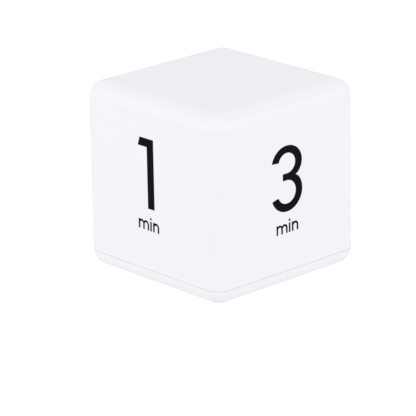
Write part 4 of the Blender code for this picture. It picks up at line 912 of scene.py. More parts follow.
# Window
WINDOW_Y = 13.2 * MM
WINDOW_LENS, WINDOW_LENS_CORNER = mm(36.0, 15.0), 1.5 * MM
WINDOW_LENS_Z = mm(0.10, 1.10)
WINDOW_SEAT_TOP = 1.4 * MM
WINDOW_OPENING, WINDOW_OPENING_CORNER = mm(33.0, 12.2), 0.8 * MM
MASK_MARGIN = 0.5 * MM
WINDOW_VIEW = mm(30.5, 10.4)

# Switch, its words and its sliding button
SWITCH_Y = 26.0 * MM
SWITCH_RECESS, SWITCH_RECESS_CORNER = mm(10.6, 3.4), 0.8 * MM
SWITCH_RECESS_TOP = 0.9 * MM
SWITCH_SLOT = mm(6.6, 2.4)
SWITCH_WORDS = (("OFF", -8.2 * MM), ("ON", 7.9 * MM))
SWITCH_WORD_HEIGHT = 1.5 * MM
KNOB_X = -1.0 * MM
KNOB_FLANGE, KNOB_FLANGE_Z = mm(9.0, 3.4), mm(2.5, 3.3)
KNOB_GRIP, KNOB_GRIP_Z = mm(4.0, 1.8), mm(0.2, 2.9)
KNOB_CUP, KNOB_CUP_Z = mm(3.2, 3.2), mm(2.8, 4.0)
KNOB_HOLE, KNOB_HOLE_Z = mm(2.0, 2.0), mm(2.6, 4.3)

# Screws; thread root and cross depth are shares of the shank radius and of the head height
HEAD_POCKET_RADIUS, HEAD_POCKET_TOP = mm(2.5, 3.2)
CASE_SCREW_SEAT, BOARD_SCREW_SEAT = mm(2.9, 8.9)
DOME_STEPS = 8
THREAD_ROOT, CROSS_DEPTH = 0.78, 0.62
THREAD_START, THREAD_END = mm(0.8, 1.4)


def well_bar(radius, half_length, foot):
    """The two round-topped bays side by side, run along X."""
    lift = math.degrees(math.acos((CELL_Y[1] - CELL_Y[0]) / 2 / radius))
    outline = arc((CELL_Y[0], CELL_AXIS_Z), radius, 180, lift, 40)
    outline += arc((CELL_Y[1], CELL_AXIS_Z), radius, 180 - lift, 0, 40)[1:]
    outline = [(outline[0][0], foot)] + outline + [(outline[-1][0], foot)]
    return moved(plate([outline], -half_length, half_length), ALONG_X)


def add_cover_walls(form):
    """Rim, inner lip, screw bosses, battery well with its end pockets, and board bosses."""
    lip_corner = EDGE_RADIUS - WALL - FIT
    lip_wall = INNER_LIP[1] - INNER_LIP[0]
    inner, outer, foot = (rounded_rectangle((0, 0), (side, side), corner) for side, corner in (
        (2 * INNER_LIP[0], lip_corner - lip_wall), (2 * INNER_LIP[1], lip_corner),
        (2 * INNER_HALF + OVERRUN, EDGE_RADIUS - WALL)))
    form.add(plate([foot, inner], EDGE_RADIUS / 2, COVER_RIM - FIT))
    form.add(plate([outer, inner], COVER_RIM - 2 * FIT, LIP_TOP))
    form.add(rods(CORNERS, COVER_BOSS_RADIUS, WALL_ROOT, COVER_RIM - FIT / 2))
    form.add(well_bar(WELL_RADIUS + WELL_WALL, WELL_HALF[0] + WELL_WALL, WALL_ROOT))
    for side in (-1, 1):
        ends = sorted((side * (WELL_HALF[0] - POCKET_DEPTH - WELL_WALL), side * (WELL_HALF[0] + WELL_WALL)))
        form.add(box_mesh((ends[0], WELL_Y - WELL_HALF[1], WALL_ROOT),
                          (ends[1], WELL_Y + WELL_HALF[1], POCKET_TOP + WELL_WALL)))
    form.add(rods(BOARD_SCREWS, BOARD_BOSS_RADIUS, WALL_ROOT, BOARD_BOSS_TOP))
    form.cut(rods(BOARD_SCREWS, BOARD_BOSS_BORE, BOARD_BOSS_BORE_FOOT, BOARD_BOSS_TOP + OVERRUN))


def cut_battery_bay(form):
    """Door rebate, well, contact pockets and slots, hinge pockets and finger scoop."""
    rebate = (2 * (DOOR_HALF[0] + FIT), 2 * (DOOR_HALF[1] + FIT))
    form.cut(recess((0, WELL_Y), rebate, REBATE_CORNER, DOOR_HIGH + FIT))
    form.cut(well_bar(WELL_RADIUS, WELL_HALF[0] - POCKET_DEPTH, WALL / 2))
    for side in (-1, 1):
        ends = sorted((side * (WELL_HALF[0] - 2 * POCKET_DEPTH), side * WELL_HALF[0]))
        half = WELL_HALF[1] - FIT
        form.cut(box_mesh((ends[0], WELL_Y - half, WALL / 2), (ends[1], WELL_Y + half, POCKET_TOP)))
    for y in CELL_Y:
        form.cut(slab((CONTACT_SLOT_X, y), CONTACT_SLOT, CELL_AXIS_Z, HALF))
    for x in HINGE_TABS:
        low, high = HINGE_POCKET_LOW, HINGE_POCKET_HIGH
        form.cut(box_mesh((x - low[0], HINGE_Y - low[1], low[2]), (x + high[0], HINGE_Y + high[1], high[2])))
    for cutter in round_recess([SCOOP_CENTRE], SCOOP_RADIUS, SCOOP_DEPTH):
        form.cut(cutter)


def cut_cover_openings(form):
    for cutter in round_recess(CORNERS, HEAD_POCKET_RADIUS, HEAD_POCKET_TOP):
        form.cut(cutter)
    form.cut(rods(CORNERS, SHANK_RADIUS + FIT, WALL, COVER_RIM + OVERRUN))
    cut_battery_bay(form)
    seat = (WINDOW_LENS[0] + 2 * FIT, WINDOW_LENS[1] + 2 * FIT)
    form.cut(recess((0, WINDOW_Y), seat, WINDOW_LENS_CORNER + FIT, WINDOW_SEAT_TOP, 0.10 * MM))
    opening = [rounded_rectangle((0, WINDOW_Y), WINDOW_OPENING, WINDOW_OPENING_CORNER)]
    form.cut(plate(opening, SKIN_INSET, WALL + OVERRUN))
    form.cut(recess((0, SWITCH_Y), SWITCH_RECESS, SWITCH_RECESS_CORNER, SWITCH_RECESS_TOP, 0.12 * MM))
    form.cut(slab((0, SWITCH_Y), SWITCH_SLOT, SKIN_INSET, WALL + OVERRUN))


def make_base_cover():
    form = Form(open_case(SKIN_INSET, CUBE_TOP / 2, 1))
    form.cut(slab((0, 0), (2 * (HALF + OVERRUN), 2 * (HALF + OVERRUN)), COVER_RIM, CUBE_TOP))
    add_cover_walls(form)
    cut_cover_openings(form)
    add_piece("base_shell", form.mesh(), CASE_WHITE, ["base_cover"], smooth=25)


def make_battery_door():
    """Hinge edge rounded about its axis, tabs, stiffening rib, latch bead, finger grooves and an arrow."""
    near, far = WELL_Y - DOOR_HALF[1], WELL_Y + DOOR_HALF[1]
    low, high = DOOR_LOW + SKIN_INSET, DOOR_HIGH
    section = arc((HINGE_Y, HINGE_Z), HINGE_RADIUS - SKIN_INSET, 90, 270, 20)
    section += arc((far - DOOR_EDGE, low + DOOR_EDGE), DOOR_EDGE, -90, 0, 5)
    section += arc((far - DOOR_EDGE, high - DOOR_EDGE), DOOR_EDGE, 0, 90, 5)
    form = Form(moved(plate([section], -DOOR_HALF[0], DOOR_HALF[0]), ALONG_X))
    trim = rounded_rectangle((0, (near + far - FIT) / 2), (2 * DOOR_HALF[0], far - near + FIT), DOOR_CORNER)
    form.keep(plate([trim], low - OVERRUN, high + OVERRUN))
    for x in HINGE_TABS:
        place, bottom = (x, HINGE_Y - HINGE_TAB_SETBACK), high - HINGE_TAB_THICKNESS
        form.add(soft_plate(place, HINGE_TAB, 0.4 * MM, bottom, high))
    form.add(soft_plate((0, WELL_Y), DOOR_RIB, 0.5 * MM, HINGE_Z, high + DOOR_RIB_HEIGHT))
    bead = [(far - BEAD_ROOT, HINGE_Z - BEAD_RADIUS), (far - BEAD_ROOT, HINGE_Z + BEAD_RADIUS)]
    bead += arc((far - BEAD_CENTRE, HINGE_Z), BEAD_RADIUS, 90, -90, 12)
    form.add(moved(plate([bead], -BEAD_HALF_LENGTH, BEAD_HALF_LENGTH), ALONG_X))
    for number in range(1, FINGER_GROOVES + 1):
        place = (0, far - FINGER_GROOVE_PITCH * number)
        mouth = inset_rectangle(place, FINGER_GROOVE, 0.3 * MM, -0.2 * MM)
        floor = inset_rectangle(place, FINGER_GROOVE, 0.3 * MM, 0.15 * MM)
        form.cut(stack([(mouth, low - 0.1 * MM), (floor, low + FINGER_GROOVE_DEPTH)]))
    tip = far - ARROW_SETBACK
    arrow = [(-ARROW[0], tip + ARROW[1]), (0, tip), (ARROW[0], tip + ARROW[1])]
    form.cut(plate([arrow], low - ARROW_DEPTH, low + ARROW_DEPTH))
    add_piece("door_panel", form.mesh(), CASE_WHITE, ["battery_door"], body="door",
              smooth=30)


def make_window():
    """A clear lens with a printed mask round the viewing area."""
    lens = soft_plate((0, WINDOW_Y), WINDOW_LENS, WINDOW_LENS_CORNER, *WINDOW_LENS_Z, 0.12 * MM)
    add_piece("window_lens", lens, LENS_CLEAR, ["display_window"], smooth=50)
    size = [length - MASK_MARGIN for length in WINDOW_LENS]
    rim = rounded_rectangle((0, WINDOW_Y), size, 1.3 * MM)
    view = rounded_rectangle((0, WINDOW_Y), WINDOW_VIEW, 0.8 * MM)
    mask = plate([rim, view], WINDOW_LENS_Z[1] + 0.01 * MM, WINDOW_LENS_Z[1] + 0.03 * MM)
    add_piece("window_mask", mask, LENS_MASK)


def make_knob():
    """The sliding button at its OFF end: flange, ridged grip and the cup that takes the switch lever."""
    place = (KNOB_X, SWITCH_Y)
    form = Form(soft_plate(place, KNOB_FLANGE, 0.3 * MM, *KNOB_FLANGE_Z, 0.1 * MM))
    form.add(soft_plate(place, KNOB_GRIP, 0.35 * MM, *KNOB_GRIP_Z, 0.15 * MM))
    form.add(slab(place, KNOB_CUP, *KNOB_CUP_Z))
    form.cut(slab(place, KNOB_HOLE, *KNOB_HOLE_Z))
    grooves = [scaled([(middle - 0.4, 0.1), (middle + 0.4, 0.1), (middle, 0.5)])
               for middle in (KNOB_X / MM - 1, KNOB_X / MM, KNOB_X / MM + 1)]
    form.cut(moved(plate(grooves, SWITCH_Y - KNOB_GRIP[1], SWITCH_Y + KNOB_GRIP[1]), ALONG_Y))
    add_piece("switch_button", cleaned(form.mesh()), KNOB_BLACK, ["power_switch_knob"],
              body="power_switch", smooth=40)


def screw_mesh(head_radius, head_height, shank_radius, length, recess_span, pitch):
    """A pan-head tapping screw with a cross recess, its head up and its seat at zero."""
    profile = [(0, head_height)]
    for i in range(DOME_STEPS + 1):
        a = math.pi / 2 * i / DOME_STEPS
        profile.append((head_radius * (0.35 + 0.65 * math.sin(a)), head_height * (0.45 + 0.55 * math.cos(a))))
    profile += [(head_radius, 0.12 * MM), (head_radius - 0.12 * MM, 0), (shank_radius, 0)]
    height = -THREAD_START
    while height > -length + THREAD_END:
        profile += [(shank_radius, height), (shank_radius * THREAD_ROOT, height - pitch / 2)]
        height -= pitch
    profile += [(shank_radius * 0.8, -length + 1.0 * MM), (0.2 * MM, -length + 0.1 * MM), (0, -length)]
    form = Form(turned(profile, 48))
    corner = recess_span * 0.08
    floor = rounded_rectangle((0, 0), (recess_span * 0.55, recess_span * 0.2), corner, 4)
    mouth = rounded_rectangle((0, 0), (recess_span * 1.1, recess_span * 0.3), corner, 4)
    for turn in (0, math.pi / 2):
        blade = stack([(floor, head_height - head_height * CROSS_DEPTH), (mouth, head_height + 0.2 * MM)])
        form.cut(moved(blade, Matrix.Rotation(turn, 4, "Z")))
    return form.mesh()


def make_screws():
    """Four screws heads down in the cover and four smaller ones on the board."""
    large = screw_mesh(head_radius=2.15 * MM, head_height=1.6 * MM, shank_radius=SHANK_RADIUS,
                       length=10.0 * MM, recess_span=2.5 * MM, pitch=0.6 * MM)
    small = screw_mesh(head_radius=1.6 * MM, head_height=1.0 * MM, shank_radius=0.8 * MM,
                       length=4.8 * MM, recess_span=1.9 * MM, pitch=0.45 * MM)
    for name, node, screw, places, seat, turns, tilt in (
            ("case_screws", "cover_screw", large, CORNERS, CASE_SCREW_SEAT, (0.2, 0.9, 0.5, 1.3), math.pi),
            ("board_screws", "pcb_screw", small, BOARD_SCREWS, BOARD_SCREW_SEAT, (0.4, 1.1, 0.1, 0.7), 0.0)):
        mesh = copies(screw, [(x, y, seat) for x, y in places], turns, SCREW_ZINC, tilt)
        stands_for = [f"{node}_{number}" for number in range(1, 5)]
        add_piece(name, mesh, SCREW_ZINC, stands_for, smooth=35)


def cell_matrix(number):
    """Turns a cell drawn from its flat end up to lie along X in its bay."""
    side = 1 if number == 1 else -1
    place = (side * (CELL_TIP_X - CELL_LENGTH), CELL_Y[number - 1], CELL_AXIS_Z)
    return Matrix.Translation(place) @ Matrix.Rotation(side * math.pi / 2, 4, "Y")


def make_cells():
    """Steel can with its nipple, printed sleeve and gilt band, drawn as profiles in millimetres."""
    r, top, shoulder = (length / MM for length in (CELL_RADIUS, CELL_LENGTH, CELL_LENGTH - NIPPLE_HEIGHT))
    sleeve = scaled([(r - 0.75, shoulder), (r - 0.28, shoulder), (r - 0.08, shoulder - 0.08),
                     (r, shoulder - 0.28), (r, 0.28), (r - 0.08, 0.08), (r - 0.28, 0), (r - 0.75, 0),
                     (r - 0.75, 0.12), (r - 0.14, 0.3), (r - 0.14, shoulder - 0.3),
                     (r - 0.75, shoulder - 0.12), (r - 0.75, shoulder)])
    can = scaled([(0, top), (1.55, top), (1.85, top - 0.12), (1.9, top - 0.35), (1.9, shoulder - 0.05),
                  (2.4, shoulder - 0.2), (r - 0.3, shoulder - 0.2), (r - 0.2, shoulder - 0.4), (r - 0.2, 0.4),
                  (r - 0.5, 0.16), (3.2, 0.16), (2.9, 0.04), (0, 0.04)])
    high, low = (shoulder - end for end in BAND_ENDS)
    band = scaled([(r + 0.012, high), (r + 0.012, low), (r - 0.05, low), (r - 0.05, high), (r + 0.012, high)])
    layers = (("cell_can", can, CAN_STEEL, "steel"), ("cell_sleeve", sleeve, CELL_SLEEVE, "cell_wrap"),
              ("cell_band", band, CELL_BAND, "cell_wrap"))
    for number in (1, 2):
        for name, profile, finish, slot in layers:
            mesh = moved(turned(profile, 96), cell_matrix(number))
            stands_for = [f"battery_cell_{number}"] if name == "cell_can" else ()
            add_piece(f"{name}_{number}", mesh, finish, stands_for, smooth=30)


def on_cell(mesh, along, across):
    """A flat drawing wrapped round the lower side of a cell, to be read from below."""
    bm = bmesh.new()
    bm.from_mesh(mesh)
    bmesh.ops.triangulate(bm, faces=bm.faces)
    bmesh.ops.subdivide_edges(bm, edges=bm.edges, cuts=3, use_grid_fill=True)
    for vert in bm.verts:
        reach = CELL_RADIUS + vert.co.z
        angle = vert.co.y / CELL_RADIUS
        vert.co = (along - vert.co.x, across + reach * math.sin(angle), CELL_AXIS_Z - reach * math.cos(angle))
    return cleaned(mesh_of(bm))


def make_cell_marks():
    """Plain size and polarity marks on the sleeves."""
    for number, (side, y) in enumerate(((1, CELL_Y[0]), (-1, CELL_Y[1])), 1):
        for name, text, x, finish in CELL_MARKS:
            drawing = label(text, MARK_HEIGHT, (0, 0), 0.02 * MM, 0)
            add_piece(f"cell_{name}_{number}", on_cell(drawing, side * x * MM, y), finish)


def make_springs():
    """Conical springs from the contact sheet to the flat end of each cell."""
    length = CONTACT_X - SPRING_TIP_X - 2 * SPRING_WIRE
    coil = grown(COIL_TREE, {"Turns": SPRING_TURNS, "Base radius": SPRING_BASE, "Tip radius": SPRING_TIP,
                             "Length": length, "Wire radius": SPRING_WIRE, "Finish": CONTACT_NICKEL})
    for number, (side, y) in enumerate(((-1, CELL_Y[0]), (1, CELL_Y[1])), 1):
        foot = Matrix.Translation((side * (CONTACT_X - SPRING_WIRE), y, CELL_AXIS_Z))
        mesh = moved(coil.copy(), foot @ Matrix.Rotation(-side * math.pi / 2, 4, "Y"))
        add_piece(f"cell_spring_{number}", mesh, CONTACT_NICKEL, [f"contact_spring_{number}"],
                  smooth=60)


def make_switch_words():
    for text, x in SWITCH_WORDS:
        mesh = label(text, SWITCH_WORD_HEIGHT, (x, SWITCH_Y), SKIN_INSET, math.pi)
        add_piece(f"print_{text.lower()}", mesh, PRINT_BLACK)


# Display

PANEL = mm(37.0, 16.6)
PANEL_LOW, PANEL_STEP, PANEL_HIGH = mm(2.5, 3.5, 4.5)
PANEL_LEDGE = 2.6 * MM
ZEBRA_Y = WINDOW_Y + PANEL[1] / 2 - PANEL_LEDGE / 2
ZEBRA_LOW, ZEBRA_HIGH = mm(3.8, 6.7)
ZEBRA_LENGTH = 35.0 * MM
ZEBRA_PITCH, ZEBRA_ROWS = 0.6 * MM, 58
PAD_PITCH, PAD_ROWS = 1.4 * MM, 25
PAD_SIZE = mm(0.7, 2.0, 0.01)
# Digits and colon, in millimetres
DIGIT_PLACES = (-11.2, -4.7, 4.7, 11.2)
DIGIT_HALF = (2.15, 3.3)
DIGIT_STROKE, DIGIT_GAP = 0.42, 0.12
COLON_RADIUS, COLON_HALF = 0.5, 1.5


def segment(centre, half_length, half_width, upright):
    """One bar of a digit, pointed at both ends."""
    body = half_length - half_width
    points = [(-half_length, 0), (-body, -half_width), (body, -half_width), (half_length, 0),
              (body, half_width), (-body, half_width)]
    if upright:
        points = [(-y, x) for x, y in points]
    return [(centre[0] + x, centre[1] + y) for x, y in points]


def digit(centre):
    """Seven bars, three level and four upright."""
    x, y = centre
    half_width, half_height = DIGIT_HALF
    level, upright = half_width - DIGIT_GAP, half_height / 2 - DIGIT_GAP
    bars = [segment((x, y + row * half_height), level, DIGIT_STROKE, False) for row in (-1, 0, 1)]
    bars += [segment((x + side * half_width, y + half * half_height), upright, DIGIT_STROKE, True)
             for side in (-1, 1) for half in (-0.5, 0.5)]
    return bars


def make_panel():
    """Two sheets of glass, faint unlit digits and a colon between them, and contact pads on the ledge."""
    corner, edge = mm(0.2, 0.06)
    front = soft_plate((0, WINDOW_Y), PANEL, corner, PANEL_LOW, PANEL_STEP, edge)
    add_piece("lcd_front_glass", front, DISPLAY_FACE, ["lcd_panel"], smooth=30)
    place, size = (0, WINDOW_Y - PANEL_LEDGE / 2), (PANEL[0], PANEL[1] - PANEL_LEDGE)
    back = soft_plate(place, size, corner, PANEL_STEP + TINY, PANEL_HIGH, edge)
    add_piece("lcd_back_glass", back, DISPLAY_FACE, smooth=30)
    middle = WINDOW_Y / MM
    outlines = [outline for x in DIGIT_PLACES for outline in digit((x, middle))]
    outlines += [circle((0, middle + y), COLON_RADIUS, 20) for y in (-COLON_HALF, COLON_HALF)]
    segments = plate([scaled(outline) for outline in outlines], PANEL_LOW - 0.03 * MM, PANEL_LOW - 0.01 * MM)
    add_piece("lcd_segments", segments, DISPLAY_SEGMENT)
    first = (-16.8 * MM, ZEBRA_Y, PANEL_STEP + 0.006 * MM)
    pads = block_row(PAD_ROWS, first, (PAD_PITCH, 0, 0), PAD_SIZE, DISPLAY_SEGMENT)
    add_piece("lcd_pads", pads, DISPLAY_SEGMENT)


def make_zebra_strip():
    """The striped rubber connector: two grey sides, a core and thin black layers across it."""
    height = ZEBRA_HIGH - ZEBRA_LOW
    level = (ZEBRA_HIGH + ZEBRA_LOW) / 2
    first = (0, ZEBRA_Y - 0.45 * MM, level)
    sides = block_row(2, first, mm(0, 0.9, 0), (ZEBRA_LENGTH, 0.5 * MM, height), ZEBRA_GREY)
    add_piece("zebra_sides", sides, ZEBRA_GREY, ["zebra_strip"])
    core = slab((0, ZEBRA_Y), mm(34.9, 0.38), ZEBRA_LOW + 0.05 * MM, ZEBRA_HIGH - 0.05 * MM)
    add_piece("zebra_core", core, ZEBRA_GREY)
    first = (-17.1 * MM, ZEBRA_Y, level)
    ribs = block_row(ZEBRA_ROWS, first, (ZEBRA_PITCH, 0, 0), (0.3 * MM, 0.4 * MM, height), ZEBRA_BLACK)
    add_piece("zebra_ribs", ribs, ZEBRA_BLACK)


def make_display():
    make_panel()
    make_zebra_strip()
    holder = Form(refined_copy("lcd_holder")).soften(0.12 * MM)
    add_piece("lcd_frame", holder.mesh(), HOLDER_BLACK, ["lcd_holder"], smooth=35)


# Circuit board and what stands on it

BOARD_TOP = 8.6 * MM
# White words on the board and their places in millimetres
LEGENDS = (("BT+", 25.0, 12.3), ("BT-", 16.3, 12.6), ("BZ", 0, 23.6), ("SW", 6.4, 26.0), ("Y1", 4.6, 20.0),
           ("R1", -19.6, 10.3))
LEGEND_HEIGHT = 1.0 * MM
# Row, how many, the first one's place and the step to the next, in millimetres
RESISTOR_ROWS = (("front", 5, (-4.8, 4.9), (2.6, 0)), ("left", 5, (-19.6, 12.4), (0, 2.3)),
                 ("right", 3, (19.8, 17.4), (0, 2.3)))
RESISTOR_ENDS = (0.8, 1.6, 0.46)
RESISTOR_BODY = (0.84, 1.0, 0.50)
RESISTOR_LIFT = 0.28
CHIP_PLACE = mm(0, 12.2)
CHIP_RADIUS, CHIP_HEIGHT = mm(5.0, 1.4)
CHIP_RING = mm(5.9, 5.6)
CHIP_STEPS = 16
CRYSTAL_PLACE = mm(0, 20.0, 9.9)
SWITCH_PIN_PITCH = 2.5 * MM
SWITCH_PIN = mm(0.5, 0.25, 2.5)
SWITCH_PIN_Z = 7.95 * MM
TILT_AXIS_Z = 11.4 * MM
# Place in millimetres and turn in degrees of each ball switch
TILT_SWITCHES = ((14.0, 6.6, 0), (-14.0, 6.6, 180), (12.0, 18.0, 90), (-12.0, 18.0, -90))
BALL_RADIUS = 1.8 * MM
BALL_REST = 0.6 * MM


def make_board():
    """The sheet with its white legends and rows of small resistors."""
    add_piece("board_sheet", refined_copy("circuit_board"), BOARD_GREEN, ["circuit_board"],
              smooth=30)
    level = BOARD_TOP + 0.02 * MM
    for text, x, y in LEGENDS:
        name = "legend_" + text.lower().replace("+", "_positive").replace("-", "_negative")
        add_piece(name, label(text, LEGEND_HEIGHT, (x * MM, y * MM), level, 0, 0.01 * MM), LEGEND_WHITE)
    ring = plate([circle(CHIP_PLACE, radius) for radius in CHIP_RING], level - 0.01 * MM, level + 0.01 * MM)
    add_piece("legend_ring", ring, LEGEND_WHITE)
    for row, count, start, step in RESISTOR_ROWS:
        first = Vector((*start, BOARD_TOP / MM + RESISTOR_LIFT)) * MM
        step = Vector((*step, 0)) * MM
        for kind, size, finish in (("resistor_ends", RESISTOR_ENDS, SOLDER),
                                   ("resistors", RESISTOR_BODY, PART_BLACK)):
            across, along, height = size if step.y == 0 else (size[1], size[0], size[2])
            blocks = block_row(count, first, step, Vector((across, along, height)) * MM, finish)
            add_piece(f"{kind}_{row}", blocks, finish)


def make_chip_and_crystal():
    """A drop of black resin over the chip, and the crystal's can lying on the board with two leads."""
    angles = [math.pi / 2 * i / CHIP_STEPS for i in range(CHIP_STEPS + 1)]
    profile = [(CHIP_RADIUS * math.sin(a) ** 0.92, CHIP_HEIGHT * math.cos(a)) for a in angles] + [(0, 0)]
    chip = moved(turned(profile, 96), Matrix.Translation((*CHIP_PLACE, BOARD_TOP + 0.02 * MM)))
    add_piece("chip_resin", chip, CHIP_RESIN, ["chip_cover"], smooth=60)
    profile = scaled([(0, 3.0), (0.6, 3.0), (0.88, 2.9), (1.0, 2.65), (1.0, -2.45), (0.92, -2.55),
                      (0.92, -2.7), (1.0, -2.8), (1.0, -2.95), (0.95, -3.0), (0, -3.0)])
    can = moved(turned(profile, 48), Matrix.Translation(CRYSTAL_PLACE) @ Matrix.Rotation(math.pi / 2, 4, "Y"))
    add_piece("crystal_can", can, CAN_STEEL, ["crystal"], smooth=35)
    x, y, z = CRYSTAL_PLACE
    for number, side in enumerate((-1, 1), 1):
        line = [(x - dx * MM, y + side * dy * MM, height) for dx, dy, height in
                ((2.9, 0.35, z), (3.4, 0.4, z), (3.75, 0.5, z - 0.2 * MM), (3.9, 0.6, BOARD_TOP))]
        add_piece(f"crystal_lead_{number}", wire(line, 0.14 * MM, SOLDER), SOLDER, smooth=60)


def make_slide_switch():
    metal = Form(refined_copy("slide_switch_frame")).soften(0.10 * MM)
    add_piece("switch_frame", metal.mesh(), CAN_STEEL, ["slide_switch_frame"], smooth=35)
    mesh = Form(refined_copy("slide_switch_actuator")).soften(0.08 * MM).mesh()
    add_piece("switch_lever", mesh, KNOB_BLACK, ["slide_switch_actuator"],
              body="power_switch", smooth=35)
    first, step = (-SWITCH_PIN_PITCH, SWITCH_Y, SWITCH_PIN_Z), (SWITCH_PIN_PITCH, 0, 0)
    pins = block_row(3, first, step, SWITCH_PIN, CONTACT_NICKEL)
    add_piece("switch_pins", pins, CONTACT_NICKEL)


def make_tilt_switches():
    """Drawn cans with a gilt ball, a plastic base and two pins bent down to the board, drawn along X."""
    can = scaled([(0, 5.0), (2.15, 5.0), (2.38, 4.93), (2.5, 4.7), (2.5, -4.75), (2.44, -4.95), (2.3, -5.0),
                  (2.14, -4.92), (2.1, -4.8), (2.1, 4.45), (1.95, 4.6), (0, 4.6)])
    base = scaled([(0, -3.4), (1.7, -3.4), (1.8, -3.5), (1.8, -5.3), (2.4, -5.3), (2.5, -5.4), (2.5, -5.8),
                   (2.4, -5.9), (0, -5.9)])
    lying = Matrix.Rotation(math.pi / 2, 4, "Y")
    places = [(x * MM, y * MM, TILT_AXIS_Z) for x, y, turn in TILT_SWITCHES]
    turns = [math.radians(turn) for x, y, turn in TILT_SWITCHES]
    for name, profile, finish, slot, node in (
            ("tilt_cans", can, CAN_STEEL, "steel", "tilt_switch_can"),
            ("tilt_bases", base, HOLDER_BLACK, "black_plastic", "tilt_switch_plug")):
        mesh = copies(moved(turned(profile, 72), lying), places, turns, finish)
        stands_for = [f"{node}_{number}" for number in range(1, 5)]
        add_piece(name, mesh, finish, stands_for, smooth=35)
    drop = (BOARD_TOP - TILT_AXIS_Z) / MM
    for name, side in (("left", 0.9), ("right", -0.9)):
        line = [(x * MM, side * MM, z * MM) for x, z in ((-5.8, 0), (-6.2, 0), (-6.4, -0.2), (-6.4, drop))]
        pins = copies(wire(line, 0.2 * MM, CONTACT_NICKEL), places, turns, CONTACT_NICKEL)
        add_piece(f"tilt_pins_{name}", pins, CONTACT_NICKEL, smooth=60)
    bm = bmesh.new()
    bmesh.ops.create_uvsphere(bm, u_segments=48, v_segments=24, radius=BALL_RADIUS)
    ball = mesh_of(bm)
    for number, (place, turn) in enumerate(zip(places, turns), 1):
        can_matrix = Matrix.Translation(place) @ Matrix.Rotation(turn, 4, "Z")
        mesh = moved(ball.copy(), can_matrix @ Matrix.Translation((BALL_REST, 0, 0)))
        add_piece(f"gilt_ball_{number}", mesh, BALL_GOLD, [f"tilt_ball_{number}"],
                  body=f"ball_{number}", smooth=80)


def make_buzzer():
    """Brass disc under the top, with a ceramic disc and its silver electrode on the lower side."""
    disc = scaled([(0, 64.5), (13.42, 64.5), (13.5, 64.42), (13.5, 64.18), (13.42, 64.1), (0, 64.1)])
    ceramic = scaled([(0, 63.8), (9.72, 63.8), (9.8, 63.72), (9.8, 63.48), (9.72, 63.4), (0, 63.4)])
    for name, profile, finish, slot, node in (
            ("buzzer_plate", disc, PIEZO_BRASS, "brass", "piezo_plate"),
            ("buzzer_ceramic", ceramic, PIEZO_CERAMIC, "ceramic_white", "piezo_element")):
        add_piece(name, turned(profile, 128), finish, [node], smooth=30)
    electrode = rods([(0, 0)], 9.0 * MM, 63.36 * MM, 63.39 * MM, 96)
    add_piece("buzzer_electrode", electrode, PIEZO_SILVER)


# Battery contacts and wires

WIRE_RADIUS = 0.5 * MM
# Finish and route of each wire, in millimetres from its contact to the board
WIRES = {
    "battery_wire_positive": (WIRE_RED, (
        (24.5, -14.7, 17.2), (24.5, -14.7, 19.5), (24.6, -11.0, 22.5), (24.8, -2.0, 21.5), (23.5, 4.5, 17.0),
        (22.5, 10.0, 12.5), (22.5, 11.5, 8.9))),
    "battery_wire_negative": (WIRE_BLACK, (
        (24.5, -3.7, 17.2), (24.5, -3.5, 18.5), (23.2, 0.0, 19.2), (21.2, 6.0, 16.5), (19.5, 11.8, 12.5),
        (19.3, 12.5, 8.9))),
    "buzzer_wire_1": (WIRE_RED, (
        (6.0, -4.0, 62.4), (6.2, -4.0, 59.5), (12.0, -1.0, 50.0), (15.0, 6.0, 35.0), (8.0, 16.0, 20.0),
        (4.0, 23.0, 12.5), (3.5, 23.8, 8.9))),
    "buzzer_wire_2": (WIRE_BLACK, (
        (-11.7, 0.0, 63.2), (-11.8, 0.0, 60.0), (-12.0, 2.0, 50.0), (-8.0, 8.0, 35.0), (-4.0, 18.0, 20.0),
        (-3.0, 23.0, 12.5), (-3.0, 23.8, 8.9))),
}
WIRE_STEPS = 10
WIRE_CORE_RADIUS = 0.3 * MM
WIRE_CORE = ((24.5, 17.5), (24.62, 16.7), (24.7, 15.9), (24.72, 15.2))
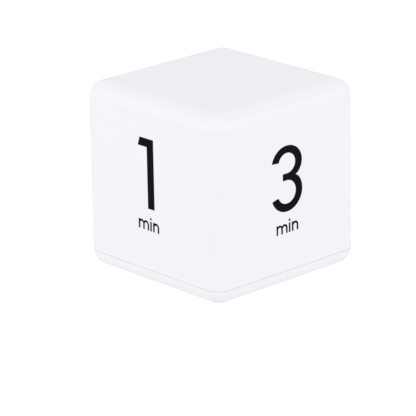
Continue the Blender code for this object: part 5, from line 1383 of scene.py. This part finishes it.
# Name, places, foot radius, lower and upper level and tip radius, in millimetres
SOLDER_JOINTS = (
    ("board_solder", [route[-1][:2] for finish, route in WIRES.values()], 0.95, 8.62, 9.35, 0.55),
    ("pin_solder", [(x, SWITCH_Y / MM) for x in (-2.5, 0, 2.5)], 0.7, 8.62, 9.1, 0.4),
    ("electrode_solder", [(6.0, -4.0)], 0.55, 62.3, 63.35, 1.0),
    ("plate_solder", [(-11.7, 0)], 0.55, 63.1, 64.09, 1.0))


def smooth_line(route):
    """Points on a smooth curve through the route's own points."""
    points = [Vector(p) * MM for p in route]
    ends = [2 * points[0] - points[1]] + points + [2 * points[-1] - points[-2]]
    line = []
    for before, first, second, after in zip(ends, ends[1:], ends[2:], ends[3:]):
        for step in range(WIRE_STEPS):
            t = step / WIRE_STEPS
            bend = 2 * first + (second - before) * t + (2 * before - 5 * first + 4 * second - after) * t * t
            line.append((bend + (3 * first - before - 3 * second + after) * t ** 3) / 2)
    return line + [points[-1]]


def make_contacts():
    for node, name in (("contact_bridge", "bridge_sheet"), ("contact_positive", "positive_sheet"),
                       ("contact_negative", "negative_sheet")):
        sheet = Form(refined_copy(node)).soften(0.06 * MM, 1)
        add_piece(name, sheet.mesh(), CONTACT_NICKEL, [node], smooth=35)


def make_wires():
    """Sheathed wires on smooth lines, their solder joints and the bare cores at the battery contacts."""
    for name, (finish, route) in WIRES.items():
        sheath = wire(smooth_line(route), WIRE_RADIUS, finish, 16)
        add_piece(f"{name}_sheath", sheath, finish, [name], smooth=60)
    for name, places, radius, low, high, tip in SOLDER_JOINTS:
        places = [(x * MM, y * MM) for x, y in places]
        mesh = rods(places, radius * MM, low * MM, high * MM, 32, tip * MM)
        add_piece(name, mesh, SOLDER, smooth=50)
    for number, y in enumerate(CELL_Y, 1):
        line = [(x * MM, y, z * MM) for x, z in WIRE_CORE]
        core = wire(line, WIRE_CORE_RADIUS, SOLDER)
        add_piece(f"wire_core_{number}", core, SOLDER, smooth=60)


make_case_shell()
make_face_prints()
make_base_cover()
make_battery_door()
make_window()
make_knob()
make_screws()
make_cells()
make_cell_marks()
make_springs()
make_switch_words()
make_display()
make_board()
make_chip_and_crystal()
make_slide_switch()
make_tilt_switches()
make_buzzer()
make_contacts()
make_wires()
